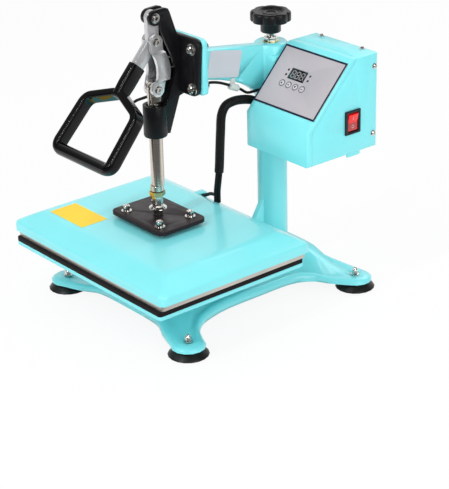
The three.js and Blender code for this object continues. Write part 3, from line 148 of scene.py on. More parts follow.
class Wiring:
    """Adds and links the nodes of one tree."""

    def __init__(self, tree: bpy.types.NodeTree) -> None:
        """Keeps the tree that is being built."""
        self.tree = tree

    def node(self, kind: str, inputs: dict[str | int, object], **settings: object) -> bpy.types.Node:
        """Adds a node and feeds it.

        Args:
            kind: the node's type.
            inputs: what each input gets: a value, a socket or a list of sockets.
            settings: properties set on the node.

        Returns:
            The node.
        """
        made = self.tree.nodes.new(kind)
        for name, value in settings.items():
            setattr(made, name, value)
        for into, value in inputs.items():
            sources = value if isinstance(value, list) else [value]
            if not isinstance(sources[0], Socket):
                made.inputs[into].default_value = value
                continue
            for source in sources:
                self.tree.links.new(source, made.inputs[into])
        return made

    def socket(self, kind: str, out: str | int, inputs: dict | None = None, **settings: object) -> Socket:
        """Adds a node as node() does and returns one of its outputs."""
        return self.node(kind, inputs or {}, **settings).outputs[out]

    def math(self, operation: str, *values: float | Socket) -> Socket:
        """Adds a math node that works on values or sockets."""
        return self.socket("ShaderNodeMath", 0, dict(enumerate(values)), operation=operation)


@dataclass(frozen=True)
class Finish:
    """A procedural finish at the real scale.

    relief is the grain's size and height in millimetres and its strength, spread
    is how far colour and roughness vary, and coat is its weight and roughness.
    """

    title: str
    slot: Slot
    colour: Colour
    roughness: float
    relief: tuple[float, float, float]
    spread: Pair
    metallic: float = 0.0
    coat: Pair = (0.0, 0.08)
    sheen: float = 0.0
    specular: float = 0.5
    grain: Grain = Grain.SPECKLED
    patch_mm: float = 60.0
    patch_span: Pair = (0.3, 0.7)
    gloss_patch_share: float = 0.22

    def material(self) -> bpy.types.Material:
        """Builds the finish once.

        Returns:
            The material, the same one each time.
        """
        found = bpy.data.materials.get(self.title)
        if found is not None:
            return found
        made = bpy.data.materials.new(self.title)
        made.use_nodes = True
        made.node_tree.nodes.clear()
        wires = Wiring(made.node_tree)
        skin = wires.socket("ShaderNodeBsdfPrincipled", "BSDF", {
            "Base Color": self._colour(wires), "Roughness": self._gloss(wires), "Normal": self._normal(wires),
            "Metallic": self.metallic, "Coat Weight": self.coat[0], "Coat Roughness": self.coat[1],
            "Sheen Weight": self.sheen, "Specular IOR Level": self.specular,
        })
        wires.node("ShaderNodeOutputMaterial", {"Surface": skin})
        return made

    def _noise(self, wires: Wiring, size_mm: float, detail: float) -> Socket:
        """Adds a noise pattern that lies in the grain's direction.

        Args:
            wires: the tree that is being built.
            size_mm: the pattern's size.
            detail: how fine it gets.

        Returns:
            The pattern.
        """
        place = wires.socket("ShaderNodeTexCoord", "Object")
        turned = wires.socket("ShaderNodeMapping", "Vector", {"Vector": place, "Scale": self.grain.value})
        scale = 1.0 / (size_mm * MILLIMETRE)
        return wires.socket("ShaderNodeTexNoise", "Fac", {"Vector": turned, "Scale": scale, "Detail": detail})

    def _colour(self, wires: Wiring) -> Socket:
        """Varies the colour in soft patches round its own value.

        Args:
            wires: the tree that is being built.

        Returns:
            The colour.
        """
        ramp = wires.node("ShaderNodeValToRGB", {"Fac": self._noise(wires, self.patch_mm, 2.0)})
        shares = (1.0 - self.spread[0], 1.0 + self.spread[0])
        for element, share, position in zip(ramp.color_ramp.elements, shares, self.patch_span):
            element.color = (*(min(channel * share, 1.0) for channel in self.colour), 1.0)
            element.position = position
        return ramp.outputs["Color"]

    def _gloss(self, wires: Wiring) -> Socket:
        """Varies the roughness, as handling and dust do.

        Args:
            wires: the tree that is being built.

        Returns:
            The roughness.
        """
        spread = self.spread[1]
        return wires.socket("ShaderNodeMapRange", "Result", {
            "Value": self._noise(wires, self.patch_mm * self.gloss_patch_share, 4.0),
            "From Min": self.patch_span[0], "From Max": self.patch_span[1],
            "To Min": max(self.roughness - spread, LEAST_ROUGHNESS),
            "To Max": min(self.roughness + spread, 1.0),
        })

    def _normal(self, wires: Wiring) -> Socket:
        """Raises the fine grain of the surface.

        Args:
            wires: the tree that is being built.

        Returns:
            The surface's normal.
        """
        size, height, strength = self.relief
        return wires.socket("ShaderNodeBump", "Normal", {
            "Height": self._noise(wires, size, 3.0), "Strength": strength, "Distance": height * MILLIMETRE,
        })


# The finishes of the press
TURQUOISE = Finish(
    "turquoise_powder_coat", Slot.TURQUOISE, (0.205, 0.735, 0.775), 0.36, relief=(1.4, 0.02, 0.1),
    spread=(0.02, 0.06), coat=(0.25, 0.14))
TURQUOISE_CAST = Finish(
    "turquoise_on_casting", Slot.TURQUOISE, (0.195, 0.72, 0.76), 0.34, relief=(3.4, 0.08, 0.16),
    spread=(0.03, 0.06), coat=(0.35, 0.12))
TURQUOISE_PRESSED = Finish(
    "turquoise_on_pressed_cover", Slot.TURQUOISE, (0.21, 0.735, 0.77), 0.3, relief=(4.0, 0.01, 0.02),
    spread=(0.02, 0.02), coat=(0.4, 0.1))
TEXTURED_BLACK = Finish(
    "textured_black_coat", Slot.BLACK_PAINT, (0.004, 0.004, 0.005), 0.34, relief=(1.1, 0.16, 0.5),
    spread=(0.2, 0.08), specular=0.28)
SATIN_BLACK = Finish(
    "satin_black_plate", Slot.BLACK_PAINT, (0.024, 0.016, 0.018), 0.4, relief=(0.9, 0.04, 0.25),
    spread=(0.1, 0.06), specular=0.16)
DIPPED_VINYL = Finish(
    "dipped_black_vinyl", Slot.VINYL, (0.002, 0.002, 0.0025), 0.07, relief=(11.0, 0.1, 0.06),
    spread=(0.1, 0.02), specular=0.36)
KNOB_PLASTIC = Finish(
    "moulded_black_knob", Slot.VINYL, (0.008, 0.007, 0.008), 0.34, relief=(0.8, 0.03, 0.2),
    spread=(0.12, 0.06), specular=0.3)
FOOT_RUBBER = Finish(
    "foot_rubber", Slot.RUBBER, (0.008, 0.008, 0.008), 0.4, relief=(0.9, 0.05, 0.3), spread=(0.2, 0.1),
    specular=0.35)
CABLE_JACKET = Finish(
    "cable_jacket", Slot.RUBBER, (0.009, 0.007, 0.007), 0.5, relief=(0.8, 0.08, 0.4), spread=(0.15, 0.08),
    specular=0.2)
SWITCH_BLACK = Finish(
    "switch_nylon", Slot.RUBBER, (0.006, 0.008, 0.012), 0.36, relief=(0.5, 0.03, 0.25), spread=(0.1, 0.06),
    specular=0.35)
SPONGE = Finish(
    "silicone_sponge", Slot.SILICONE, (0.008, 0.006, 0.007), 0.8, relief=(0.8, 0.2, 0.5), spread=(0.25, 0.06),
    specular=0.2, sheen=0.04)
CAST_ALLOY = Finish(
    "tumbled_casting", Slot.CAST, (0.66, 0.66, 0.67), 0.38, relief=(1.0, 0.06, 0.25), spread=(0.08, 0.08),
    metallic=0.75)
PRESSED_STEEL = Finish(
    "pressed_link_steel", Slot.CAST, (0.78, 0.78, 0.79), 0.3, relief=(0.8, 0.02, 0.2), spread=(0.06, 0.06),
    metallic=0.88)
PLATED = Finish(
    "bright_plate", Slot.STEEL, (0.74, 0.72, 0.69), 0.16, relief=(0.6, 0.01, 0.12), spread=(0.06, 0.05),
    metallic=1.0)
GROUND_ROD = Finish(
    "ground_rod", Slot.STEEL, (0.66, 0.6, 0.53), 0.16, relief=(1.6, 0.002, 0.04), spread=(0.04, 0.03),
    metallic=1.0, grain=Grain.TURNED, patch_mm=30.0)
WARM_NUT = Finish(
    "yellow_passivated_nut", Slot.STEEL, (0.6, 0.5, 0.27), 0.22, relief=(0.6, 0.01, 0.15), spread=(0.15, 0.06),
    metallic=1.0, patch_mm=9.0)
DARK_COLLAR = Finish(
    "blackened_collar", Slot.STEEL, (0.09, 0.08, 0.075), 0.35, relief=(0.6, 0.02, 0.2), spread=(0.15, 0.06),
    metallic=0.8)
MILLED = Finish(
    "milled_aluminium", Slot.ALUMINIUM, (0.62, 0.58, 0.53), 0.38, relief=(0.6, 0.02, 0.3), spread=(0.08, 0.08),
    metallic=0.85, grain=Grain.DRAWN_ALONG_X)
MEMBRANE = Finish(
    "membrane_face", Slot.PANEL, (0.43, 0.405, 0.43), 0.5, relief=(0.4, 0.01, 0.2), spread=(0.02, 0.06),
    specular=0.3)
PRINTED_NAVY = Finish(
    "printed_navy", Slot.PANEL, (0.006, 0.012, 0.035), 0.45, relief=(0.4, 0.01, 0.2), spread=(0.1, 0.06),
    specular=0.3)
WINDOW = Finish(
    "display_filter", Slot.SMOKED, (0.012, 0.01, 0.012), 0.12, relief=(3.0, 0.01, 0.1), spread=(0.1, 0.03),
    coat=(0.3, 0.08), specular=0.4)
DIGIT = Finish(
    "display_segment", Slot.SMOKED, (0.3, 0.3, 0.31), 0.4, relief=(0.4, 0.01, 0.25), spread=(0.06, 0.06))
LAMP_DARK = Finish(
    "unlit_lamp", Slot.SMOKED, (0.012, 0.01, 0.01), 0.2, relief=(0.5, 0.01, 0.25), spread=(0.1, 0.06),
    coat=(0.4, 0.08))
KEY_DOME = Finish("key_dome", Slot.KEY, (0.56, 0.54, 0.56), 0.45, relief=(0.4, 0.01, 0.2), spread=(0.04, 0.06))
ROCKER_RED = Finish(
    "rocker_red", Slot.RED, (0.78, 0.006, 0.006), 0.2, relief=(1.2, 0.02, 0.15), spread=(0.08, 0.06),
    coat=(0.5, 0.08))
# Painted shade: a darker red for the rocker's lower half, which lies in shade below its raised upper half.
ROCKER_PAINTED_SHADE = Finish(
    "rocker_painted_shade", Slot.RED, (0.34, 0.02, 0.022), 0.14, relief=(1.6, 0.03, 0.2), spread=(0.2, 0.06),
    coat=(0.6, 0.08))
ROCKER_MARK = Finish(
    "rocker_mark", Slot.RED, (0.62, 0.4, 0.4), 0.4, relief=(0.4, 0.01, 0.25), spread=(0.05, 0.06))
NATURAL_NYLON = Finish(
    "natural_nylon", Slot.NYLON, (0.6, 0.63, 0.6), 0.32, relief=(0.6, 0.02, 0.2), spread=(0.05, 0.06))
PLATE_SILVER = Finish(
    "blank_rating_foil", Slot.PANEL, (0.62, 0.63, 0.67), 0.4, relief=(0.5, 0.01, 0.25), spread=(0.03, 0.06),
    metallic=0.15)
STICKER_YELLOW = Finish(
    "blank_yellow_sticker", Slot.PANEL, (0.93, 0.6, 0.01), 0.42, relief=(0.7, 0.01, 0.1), spread=(0.03, 0.06))


def circle(sides: int, start: float = 0.0) -> list[Pair]:
    """Gives the cosine and sine of even steps round a circle, the first one moved on by a share of a step."""
    turns = [math.tau * (step + start) / sides for step in range(sides)]
    return [(math.cos(turn), math.sin(turn)) for turn in turns]


def plain_mesh(form: bmesh.types.BMesh, name: str) -> bpy.types.Mesh:
    """Turns a work mesh into a plain one with its faces outward.

    Args:
        form: the work mesh, which is freed.
        name: the plain mesh's name.

    Returns:
        The plain mesh.
    """
    bmesh.ops.recalc_face_normals(form, faces=form.faces)
    made = bpy.data.meshes.new(name)
    form.to_mesh(made)
    form.free()
    return made


class Shaper:
    """Builds closed meshes from profiles, outlines and paths, in millimetres."""

    def __init__(self) -> None:
        """Starts an empty mesh."""
        self.form = bmesh.new()

    def loft(self, rings: Sequence[Sequence[Vector]], closes: bool = False) -> Shaper:
        """Skins rings of points that have the same count.

        Args:
            rings: the rings in row-frame metres; a ring whose points coincide becomes a tip.
            closes: whether the last ring joins the first.

        Returns:
            The shaper itself.
        """
        made = []
        for ring in rings:
            is_tip = (ring[0] - ring[len(ring) // 2]).length < TIP_M
            made.append([self.form.verts.new(point) for point in (ring[:1] if is_tip else ring)])
        for lower, upper in zip(made, made[1:] + (made[:1] if closes else [])):
            self._band(lower, upper, len(rings[0]))
        for end in (made[0], made[-1]):
            if len(end) > 2 and not closes:
                self.form.faces.new(end)
        return self

    def _band(self, lower: list, upper: list, sides: int) -> None:
        """Joins two rings.

        Args:
            lower: the first ring's points, or its single one.
            upper: the second ring's.
            sides: how many steps go round.
        """
        for step in range(sides):
            after = (step + 1) % sides
            corners = [lower[step % len(lower)], lower[after % len(lower)],
                       upper[after % len(upper)], upper[step % len(upper)]]
            kept = [corner for index, corner in enumerate(corners) if corner not in corners[:index]]
            if len(kept) > 2:
                self.form.faces.new(kept)

    def lathe(self, profile: Sequence[Pair], frame: Matrix, sides: int = 48, closes: bool = False) -> Shaper:
        """Turns a profile about the frame's Z axis.

        Args:
            profile: radius and height pairs, from one end on the axis to the other.
            frame: where the axis lies, in row-frame metres.
            sides: how many steps go round.
            closes: whether the profile is a closed loop off the axis.

        Returns:
            The shaper itself.
        """
        return self.loft([
            [frame @ (Vector((radius * u, radius * v, height)) * MILLIMETRE) for u, v in circle(sides)]
            for radius, height in profile
        ], closes)

    def drum(self, radius: float, low: float, high: float, frame: Matrix, sides: int) -> Shaper:
        """Turns a plain drum between two heights of the frame, as lathe() does."""
        return self.lathe([(0, low), (radius, low), (radius, high), (0, high)], frame, sides)

    def ring(self, radii: Pair, levels: Pair, frame: Matrix, sides: int) -> Shaper:
        """Turns a flat ring between two radii and two heights of the frame, as lathe() does."""
        (inner, outer), (low, high) = radii, levels
        return self.lathe([(inner, low), (outer, low), (outer, high), (inner, high)], frame, sides, True)

    def slab(self, outline: Sequence[Pair], low: float, high: float, frame: Matrix) -> Shaper:
        """Raises a flat outline between two heights of the frame.

        Args:
            outline: corner points in the frame's X and Y.
            low: the lower height.
            high: the upper height.
            frame: where the outline lies, in row-frame metres.

        Returns:
            The shaper itself.
        """
        return self.loft([[frame @ (Vector((u, v, height)) * MILLIMETRE) for u, v in outline]
                          for height in (low, high)])

    def tube(self, path: Sequence[Vector], radius: float, sides: int) -> Shaper:
        """Sweeps a round section along a path given in row-frame metres.

        Args:
            path: the centreline's points, whose start doesn't run straight up.
            radius: the section's radius.
            sides: how many steps go round.

        Returns:
            The shaper itself.
        """
        side, reach, rings = UP.cross(path[1] - path[0]), radius * MILLIMETRE, []
        for index, point in enumerate(path):
            ahead = (path[min(index + 1, len(path) - 1)] - path[max(index - 1, 0)]).normalized()
            side = (side - ahead * side.dot(ahead)).normalized()
            rings.append([point + side * reach * u + ahead.cross(side) * reach * v for u, v in circle(sides)])
        return self.loft(rings)

    def mesh(self, name: str) -> bpy.types.Mesh:
        """Closes the work and returns it as a mesh."""
        bmesh.ops.remove_doubles(self.form, verts=self.form.verts, dist=MERGE_M)
        return plain_mesh(self.form, name)


def frame_at(origin: Vector, normal: Vector, along: Vector = RIGHT) -> Matrix:
    """Makes a frame whose Z is the normal and whose X lies near the given direction.

    Args:
        origin: the frame's origin in row-frame metres.
        normal: the direction of Z.
        along: the direction that X follows as far as it can.

    Returns:
        The frame as a matrix.
    """
    up = normal.normalized()
    right = (along - up * along.dot(up)).normalized()
    return Matrix.Translation(origin) @ Matrix((right, up.cross(right), up)).transposed().to_4x4()


def shift(u: float, v: float) -> Matrix:
    """Moves a frame within its own plane, in millimetres."""
    return Matrix.Translation(Vector((u, v, 0)) * MILLIMETRE)


def round_corners(width: float, height: float, corner: float, u: float = 0, v: float = 0,
                  steps: int = 6) -> list[Pair]:
    """Gives the outline of a rectangle with round corners.

    Args:
        width: the overall width.
        height: the overall height.
        corner: the corners' radius.
        u: the middle across.
        v: the middle upwards.
        steps: how many steps a corner has.

    Returns:
        The outline's points, anticlockwise.
    """
    points = []
    for right, top, start in ((1, -1, -90), (1, 1, 0), (-1, 1, 90), (-1, -1, 180)):
        for step in range(steps + 1):
            angle = math.radians(start + 90 * step / steps)
            points.append((u + right * (width / 2 - corner) + corner * math.cos(angle),
                           v + top * (height / 2 - corner) + corner * math.sin(angle)))
    return points


def eased_profile(radius: float, height: float, foot: float = 0.6, top: float = 0.6) -> list[Pair]:
    """Gives the profile of a drum or nut whose two ends are eased, to be turned."""
    return [(0, 0), (radius - foot, 0), (radius, foot),
            (radius, height - top), (radius - top, height), (0, height)]


def centripetal(four: Sequence[Vector], share: float) -> Vector:
    """Finds a point of a centripetal curve.

    Args:
        four: the points that the curve runs through.
        share: how far the point lies between the middle two.

    Returns:
        The point.
    """
    knots = [0.0]
    for here, there in zip(four, four[1:]):
        knots.append(knots[-1] + (there - here).length ** 0.5)
    value = knots[1] + (knots[2] - knots[1]) * share
    points = list(four)
    for reach, pairs in ((1, (0, 1, 2)), (2, (0, 1)), (1, (1,))):
        mixed = []
        for index, low in enumerate(pairs):
            start, end = knots[low], knots[low + reach]
            mixed.append(points[index] * ((end - value) / (end - start))
                         + points[index + 1] * ((value - start) / (end - start)))
        points = mixed
    return points[0]


def path_length(points: Sequence[Vector]) -> float:
    """Measures a polyline."""
    return sum((there - here).length for here, there in zip(points, points[1:]))


def smooth_path(points: Sequence[Point]) -> list[Vector]:
    """Draws a smooth curve through route points and spaces it evenly.

    Args:
        points: the route in millimetres.

    Returns:
        The curve's points in row-frame metres.
    """
    route = [mm(*point) for point in points]
    padded = [route[0] * 2 - route[1], *route, route[-1] * 2 - route[-2]]
    fine = [centripetal(four, step / CURVE_STEPS) for four in zip(padded, padded[1:], padded[2:], padded[3:])
            for step in range(CURVE_STEPS)]
    fine.append(route[-1])
    total = path_length(fine)
    count = round(total / (PATH_STEP * MILLIMETRE))
    kept, walked, index = [fine[0]], 0.0, 0
    for step in range(1, count):
        goal = total * step / count
        while walked + (fine[index + 1] - fine[index]).length < goal:
            walked += (fine[index + 1] - fine[index]).length
            index += 1
        kept.append(fine[index].lerp(fine[index + 1], (goal - walked) / (fine[index + 1] - fine[index]).length))
    return [*kept, fine[-1]]


@dataclass(frozen=True)
class Shell:
    """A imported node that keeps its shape: its piece, finish, eased edges and smooth angle."""

    node: str
    piece: str
    finish: Finish
    bevel: float = 0.5
    crease: float = 40.0
    segments: int = 2


@dataclass
class Workshop:
    """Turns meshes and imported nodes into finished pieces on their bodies."""

    frame: dict

    def body(self, node: str) -> str:
        """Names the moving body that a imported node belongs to."""
        bodies = self.frame["record"]["behaviour"]["bodies"]
        return next(body for body, members in bodies.items() if node in members)

    def piece(self, name: str, shape: Shaper | bpy.types.Mesh, finish: Finish, body: str = "arm",
              replaces: Iterable[str] = (), crease: float = 40.0) -> bpy.types.Object:
        """Makes a finished piece that rides on a body.

        Args:
            name: the piece's name.
            shape: its shaper or mesh, in row-frame metres.
            finish: its finish.
            body: the body it rides on.
            replaces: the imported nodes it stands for.
            crease: edges steeper than this many degrees stay sharp.

        Returns:
            The piece.
        """
        thing = linked(name, shape.mesh(name) if isinstance(shape, Shaper) else shape)
        thing.data.materials.clear()
        thing.data.materials.append(finish.material())
        self._smoothed(thing, crease)
        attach(thing, body)
        if replaces:
            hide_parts(*replaces)
        LOG.info("piece %s on %s", name, body)
        return thing

    def refined(self, shell: Shell) -> bpy.types.Object:
        """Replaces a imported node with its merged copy, its sharp edges eased.

        Args:
            shell: the node and how it is dressed.

        Returns:
            The piece.
        """
        form = bmesh.new()
        form.from_mesh(self.frame["nodes"][shell.node].data)
        bmesh.ops.remove_doubles(form, verts=form.verts, dist=PACKED_MERGE_M)
        bmesh.ops.dissolve_degenerate(form, edges=form.edges, dist=PACKED_MERGE_M / 2)
        bmesh.ops.dissolve_limit(form, angle_limit=math.radians(FLAT_DEGREES), verts=form.verts,
                                 edges=form.edges)
        mesh = plain_mesh(form, shell.piece)
        if shell.bevel > 0:
            mesh = self.modified(mesh, "BEVEL", width=shell.bevel * MILLIMETRE, segments=shell.segments,
                                 limit_method="ANGLE", angle_limit=math.radians(BEVEL_DEGREES),
                                 use_clamp_overlap=True)
        return self.piece(shell.piece, mesh, shell.finish, self.body(shell.node), (shell.node,), shell.crease)

    def modified(self, mesh: bpy.types.Mesh, kind: str, inputs: dict[str, object] | None = None,
                 **settings: object) -> bpy.types.Mesh:
        """Runs a mesh through one modifier.

        Args:
            mesh: the mesh, which is removed afterwards.
            kind: the modifier's type.
            inputs: values for the inputs of a geometry tree, by their identifiers.
            settings: the modifier's properties.

        Returns:
            The plain mesh that comes out.
        """
        scratch = linked(mesh.name + "_scratch", mesh)
        modifier = scratch.modifiers.new(kind, kind)
        for name, value in settings.items():
            setattr(modifier, name, value)
        for name, value in (inputs or {}).items():
            modifier[name] = value
        bpy.context.view_layer.update()
        made = bpy.data.meshes.new_from_object(scratch.evaluated_get(bpy.context.evaluated_depsgraph_get()))
        bpy.data.objects.remove(scratch)
        bpy.data.meshes.remove(mesh)
        return made

    def cut_out(self, thing: bpy.types.Object, tool: Shaper, operation: str = "DIFFERENCE",
                crease: float = 45.0) -> None:
        """Takes a closed shape out of a piece, or joins it on.

        Args:
            thing: the piece.
            tool: the closed shape.
            operation: how the two are combined.
            crease: edges steeper than this many degrees stay sharp.
        """
        other = linked(thing.name + "_tool", tool.mesh(thing.name + "_tool"))
        whole = thing.data
        thing.data = self.modified(whole.copy(), "BOOLEAN", operation=operation, solver="EXACT", object=other)
        bpy.data.objects.remove(other)
        bpy.data.meshes.remove(whole)
        self._smoothed(thing, crease)

    def screws(self, name: str, places: Sequence[Place], parts: Sequence[Part], body: str = "arm",
               replaces: Iterable[str] = ()) -> None:
        """Sets screws with a six-sided socket on their places.

        Args:
            name: the piece's name.
            places: where each screw sits and the direction that it faces.
            parts: head, crown and socket, then drums and nuts on the axis.
            body: the body that the piece rides on.
            replaces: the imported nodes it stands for.
        """
        recipe = Recipe(name, [part for part, *_ in parts])
        head, crown, socket, *others = [recipe.part(part, sides=40) for part, *_ in parts]
        recipe.close_on_points([recipe.carved([head, crown], [socket]), *others])
        recipe.grow(self, name, places, stack(parts), body, replaces)

    def _smoothed(self, thing: bpy.types.Object, crease: float) -> None:
        """Shades a piece smooth, with sharp edges past the crease angle."""
        thing.data.shade_smooth()
        thing.data.set_sharp_from_angle(angle=math.radians(crease))


def stack(parts: Sequence[Part]) -> dict[str, float]:
    """Names the radius, height and base of each part of a screw, in millimetres."""
    return {f"{part} {size}": value for part, *values in parts for size, value in zip(PART_SIZES, values)}


class Recipe:
    """A geometry tree with named sizes that makes repeated or swept hardware."""

    def __init__(self, title: str, parts: Sequence[str] = (), sizes: Sequence[str] = ()) -> None:
        """Starts a tree with its inputs.

        Args:
            title: the tree's name.
            parts: names of parts, each of which has a radius, a height and a base level.
            sizes: names of further lengths.
        """
        self.tree = bpy.data.node_groups.new(title, "GeometryNodeTree")
        lengths = [*sizes, *(f"{part} {size}" for part in parts for size in PART_SIZES)]
        kinds = {"Geometry": "Geometry", **dict.fromkeys(lengths, "Float"), "Finish": "Material"}
        for name, kind in kinds.items():
            self.tree.interface.new_socket(name, in_out="INPUT", socket_type="NodeSocket" + kind)
        self.tree.interface.new_socket("Geometry", in_out="OUTPUT", socket_type="NodeSocketGeometry")
        self.wires = Wiring(self.tree)
        self.given = self.wires.node("NodeGroupInput", {}).outputs

    def lifted(self, shape: Socket, height: Socket) -> Socket:
        """Lifts a shape along Z."""
        lift = self.wires.socket("ShaderNodeCombineXYZ", "Vector", {"Z": height})
        return self.wires.socket("GeometryNodeTransform", "Geometry", {"Geometry": shape, "Translation": lift})

    def part(self, name: str, sides: int) -> Socket:
        """Adds a drum, a prism or, for a crown, the flat cone that narrows up from the head.

        Args:
            name: the part's name.
            sides: how many sides a round part has.

        Returns:
            The part in its place.
        """
        radius, height, base = (self.given[f"{name} {size}"] for size in PART_SIZES)
        if name == "Crown":
            cone = self.wires.socket("GeometryNodeMeshCone", "Mesh", {
                "Vertices": sides, "Radius Top": radius, "Radius Bottom": self.given["Head Radius"],
                "Depth": height,
            })
            return self.lifted(cone, base)
        drum = self.wires.socket("GeometryNodeMeshCylinder", "Mesh", {
            "Vertices": 6 if name in SIX_SIDED else sides, "Radius": radius, "Depth": height,
        })
        return self.lifted(drum, self.wires.math("MULTIPLY_ADD", height, 0.5, base))

    def carved(self, whole: list[Socket], tools: list[Socket]) -> Socket:
        """Joins closed shapes into one and takes tools out of it."""
        merged = self.wires.socket("GeometryNodeMeshBoolean", "Mesh", {"Mesh 2": whole}, operation="UNION")
        return self.wires.socket("GeometryNodeMeshBoolean", "Mesh", {"Mesh 1": merged, "Mesh 2": tools},
                                 operation="DIFFERENCE")

    def close_on_points(self, parts: list[Socket]) -> None:
        """Sets a copy of the parts on each point of the seed, turned the way that the point faces.

        Args:
            parts: the shapes that make up one copy.
        """
        together = self.wires.socket("GeometryNodeJoinGeometry", "Geometry", {"Geometry": parts})
        facing = self.wires.socket("GeometryNodeInputNamedAttribute", "Attribute", {"Name": "facing"},
                                   data_type="FLOAT_VECTOR")
        turn = self.wires.socket("FunctionNodeAlignRotationToVector", "Rotation", {"Vector": facing}, axis="Z")
        copies = self.wires.socket("GeometryNodeInstanceOnPoints", "Instances", {
            "Points": self.given["Geometry"], "Instance": together, "Rotation": turn,
        })
        real = self.wires.socket("GeometryNodeRealizeInstances", "Geometry", {"Geometry": copies})
        painted = self.wires.socket("GeometryNodeSetMaterial", "Geometry", {
            "Geometry": real, "Material": self.given["Finish"],
        })
        self.wires.node("NodeGroupOutput", {"Geometry": painted})

    def grow(self, workshop: Workshop, name: str, places: Sequence[Place], values: dict[str, float],
             body: str = "arm", replaces: Iterable[str] = (), crease: float = 35.0) -> None:
        """Runs the tree on its places and keeps the result as a plated piece.

        Args:
            workshop: the workshop that keeps the piece.
            name: the piece's name.
            places: where each copy sits and the direction that it faces.
            values: the named sizes in millimetres.
            body: the body that the piece rides on.
            replaces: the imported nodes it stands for.
            crease: edges steeper than this many degrees stay sharp.
        """
        seed = bpy.data.meshes.new(name + "_places")
        seed.from_pydata([tuple(place) for place, _ in places], [], [])
        facing = seed.attributes.new("facing", "FLOAT_VECTOR", "POINT")
        facing.data.foreach_set("vector", [value for _, direction in places for value in direction])
        inputs = {item.identifier: values[item.name] * MILLIMETRE
                  for item in self.tree.interface.items_tree if item.name in values}
        mesh = workshop.modified(seed, "NODES", inputs, node_group=self.tree)
        workshop.piece(name, mesh, PLATED, body, replaces, crease)


def cross_screw_recipe() -> Recipe:
    """Makes pan-head screws with a cross recess and a washer, one on each point of the seed.

    Returns:
        The recipe.
    """
    recipe = Recipe("cross_screws", ("Washer", "Head", "Crown"), ("Slot Width",))
    wires, given, slots = recipe.wires, recipe.given, []
    washer, head, crown = (recipe.part(name, sides=28) for name in ("Washer", "Head", "Crown"))
    level = wires.math("MULTIPLY", given["Crown Base"], 1.5)
    for long, short in (("X", "Y"), ("Y", "X")):
        size = wires.socket("ShaderNodeCombineXYZ", "Vector", {
            long: wires.math("MULTIPLY", given["Head Radius"], 1.1), short: given["Slot Width"],
            "Z": given["Head Radius"],
        })
        slots.append(recipe.lifted(wires.socket("GeometryNodeMeshCube", "Mesh", {"Size": size}), level))
    recipe.close_on_points([washer, recipe.carved([head, crown], slots)])
    return recipe


def thread_recipe() -> Recipe:
    """Makes a helical thread ridge that stands on each point of the seed.

    Returns:
        The recipe.
    """
    recipe = Recipe("screw_thread", sizes=("Radius", "Pitch", "Ridge", "Length"))
    wires, given = recipe.wires, recipe.given
    spiral = wires.socket("GeometryNodeCurveSpiral", "Curve", {
        "Resolution": 24, "Rotations": wires.math("DIVIDE", given["Length"], given["Pitch"]),
        "Start Radius": given["Radius"], "End Radius": given["Radius"], "Height": given["Length"],
    })
    section = wires.socket("GeometryNodeCurvePrimitiveCircle", "Curve", {
        "Resolution": 4, "Radius": given["Ridge"],
    })
    recipe.close_on_points([wires.socket("GeometryNodeCurveToMesh", "Mesh", {
        "Curve": spiral, "Profile Curve": section, "Fill Caps": True,
    })])
    return recipe


def either_side(x: float, y: float, z: float) -> list[Place]:
    """Gives the ends of a pin through the middle plane, each facing outward."""
    return [(mm(side * x, y, z), RIGHT * side) for side in (1, -1)]


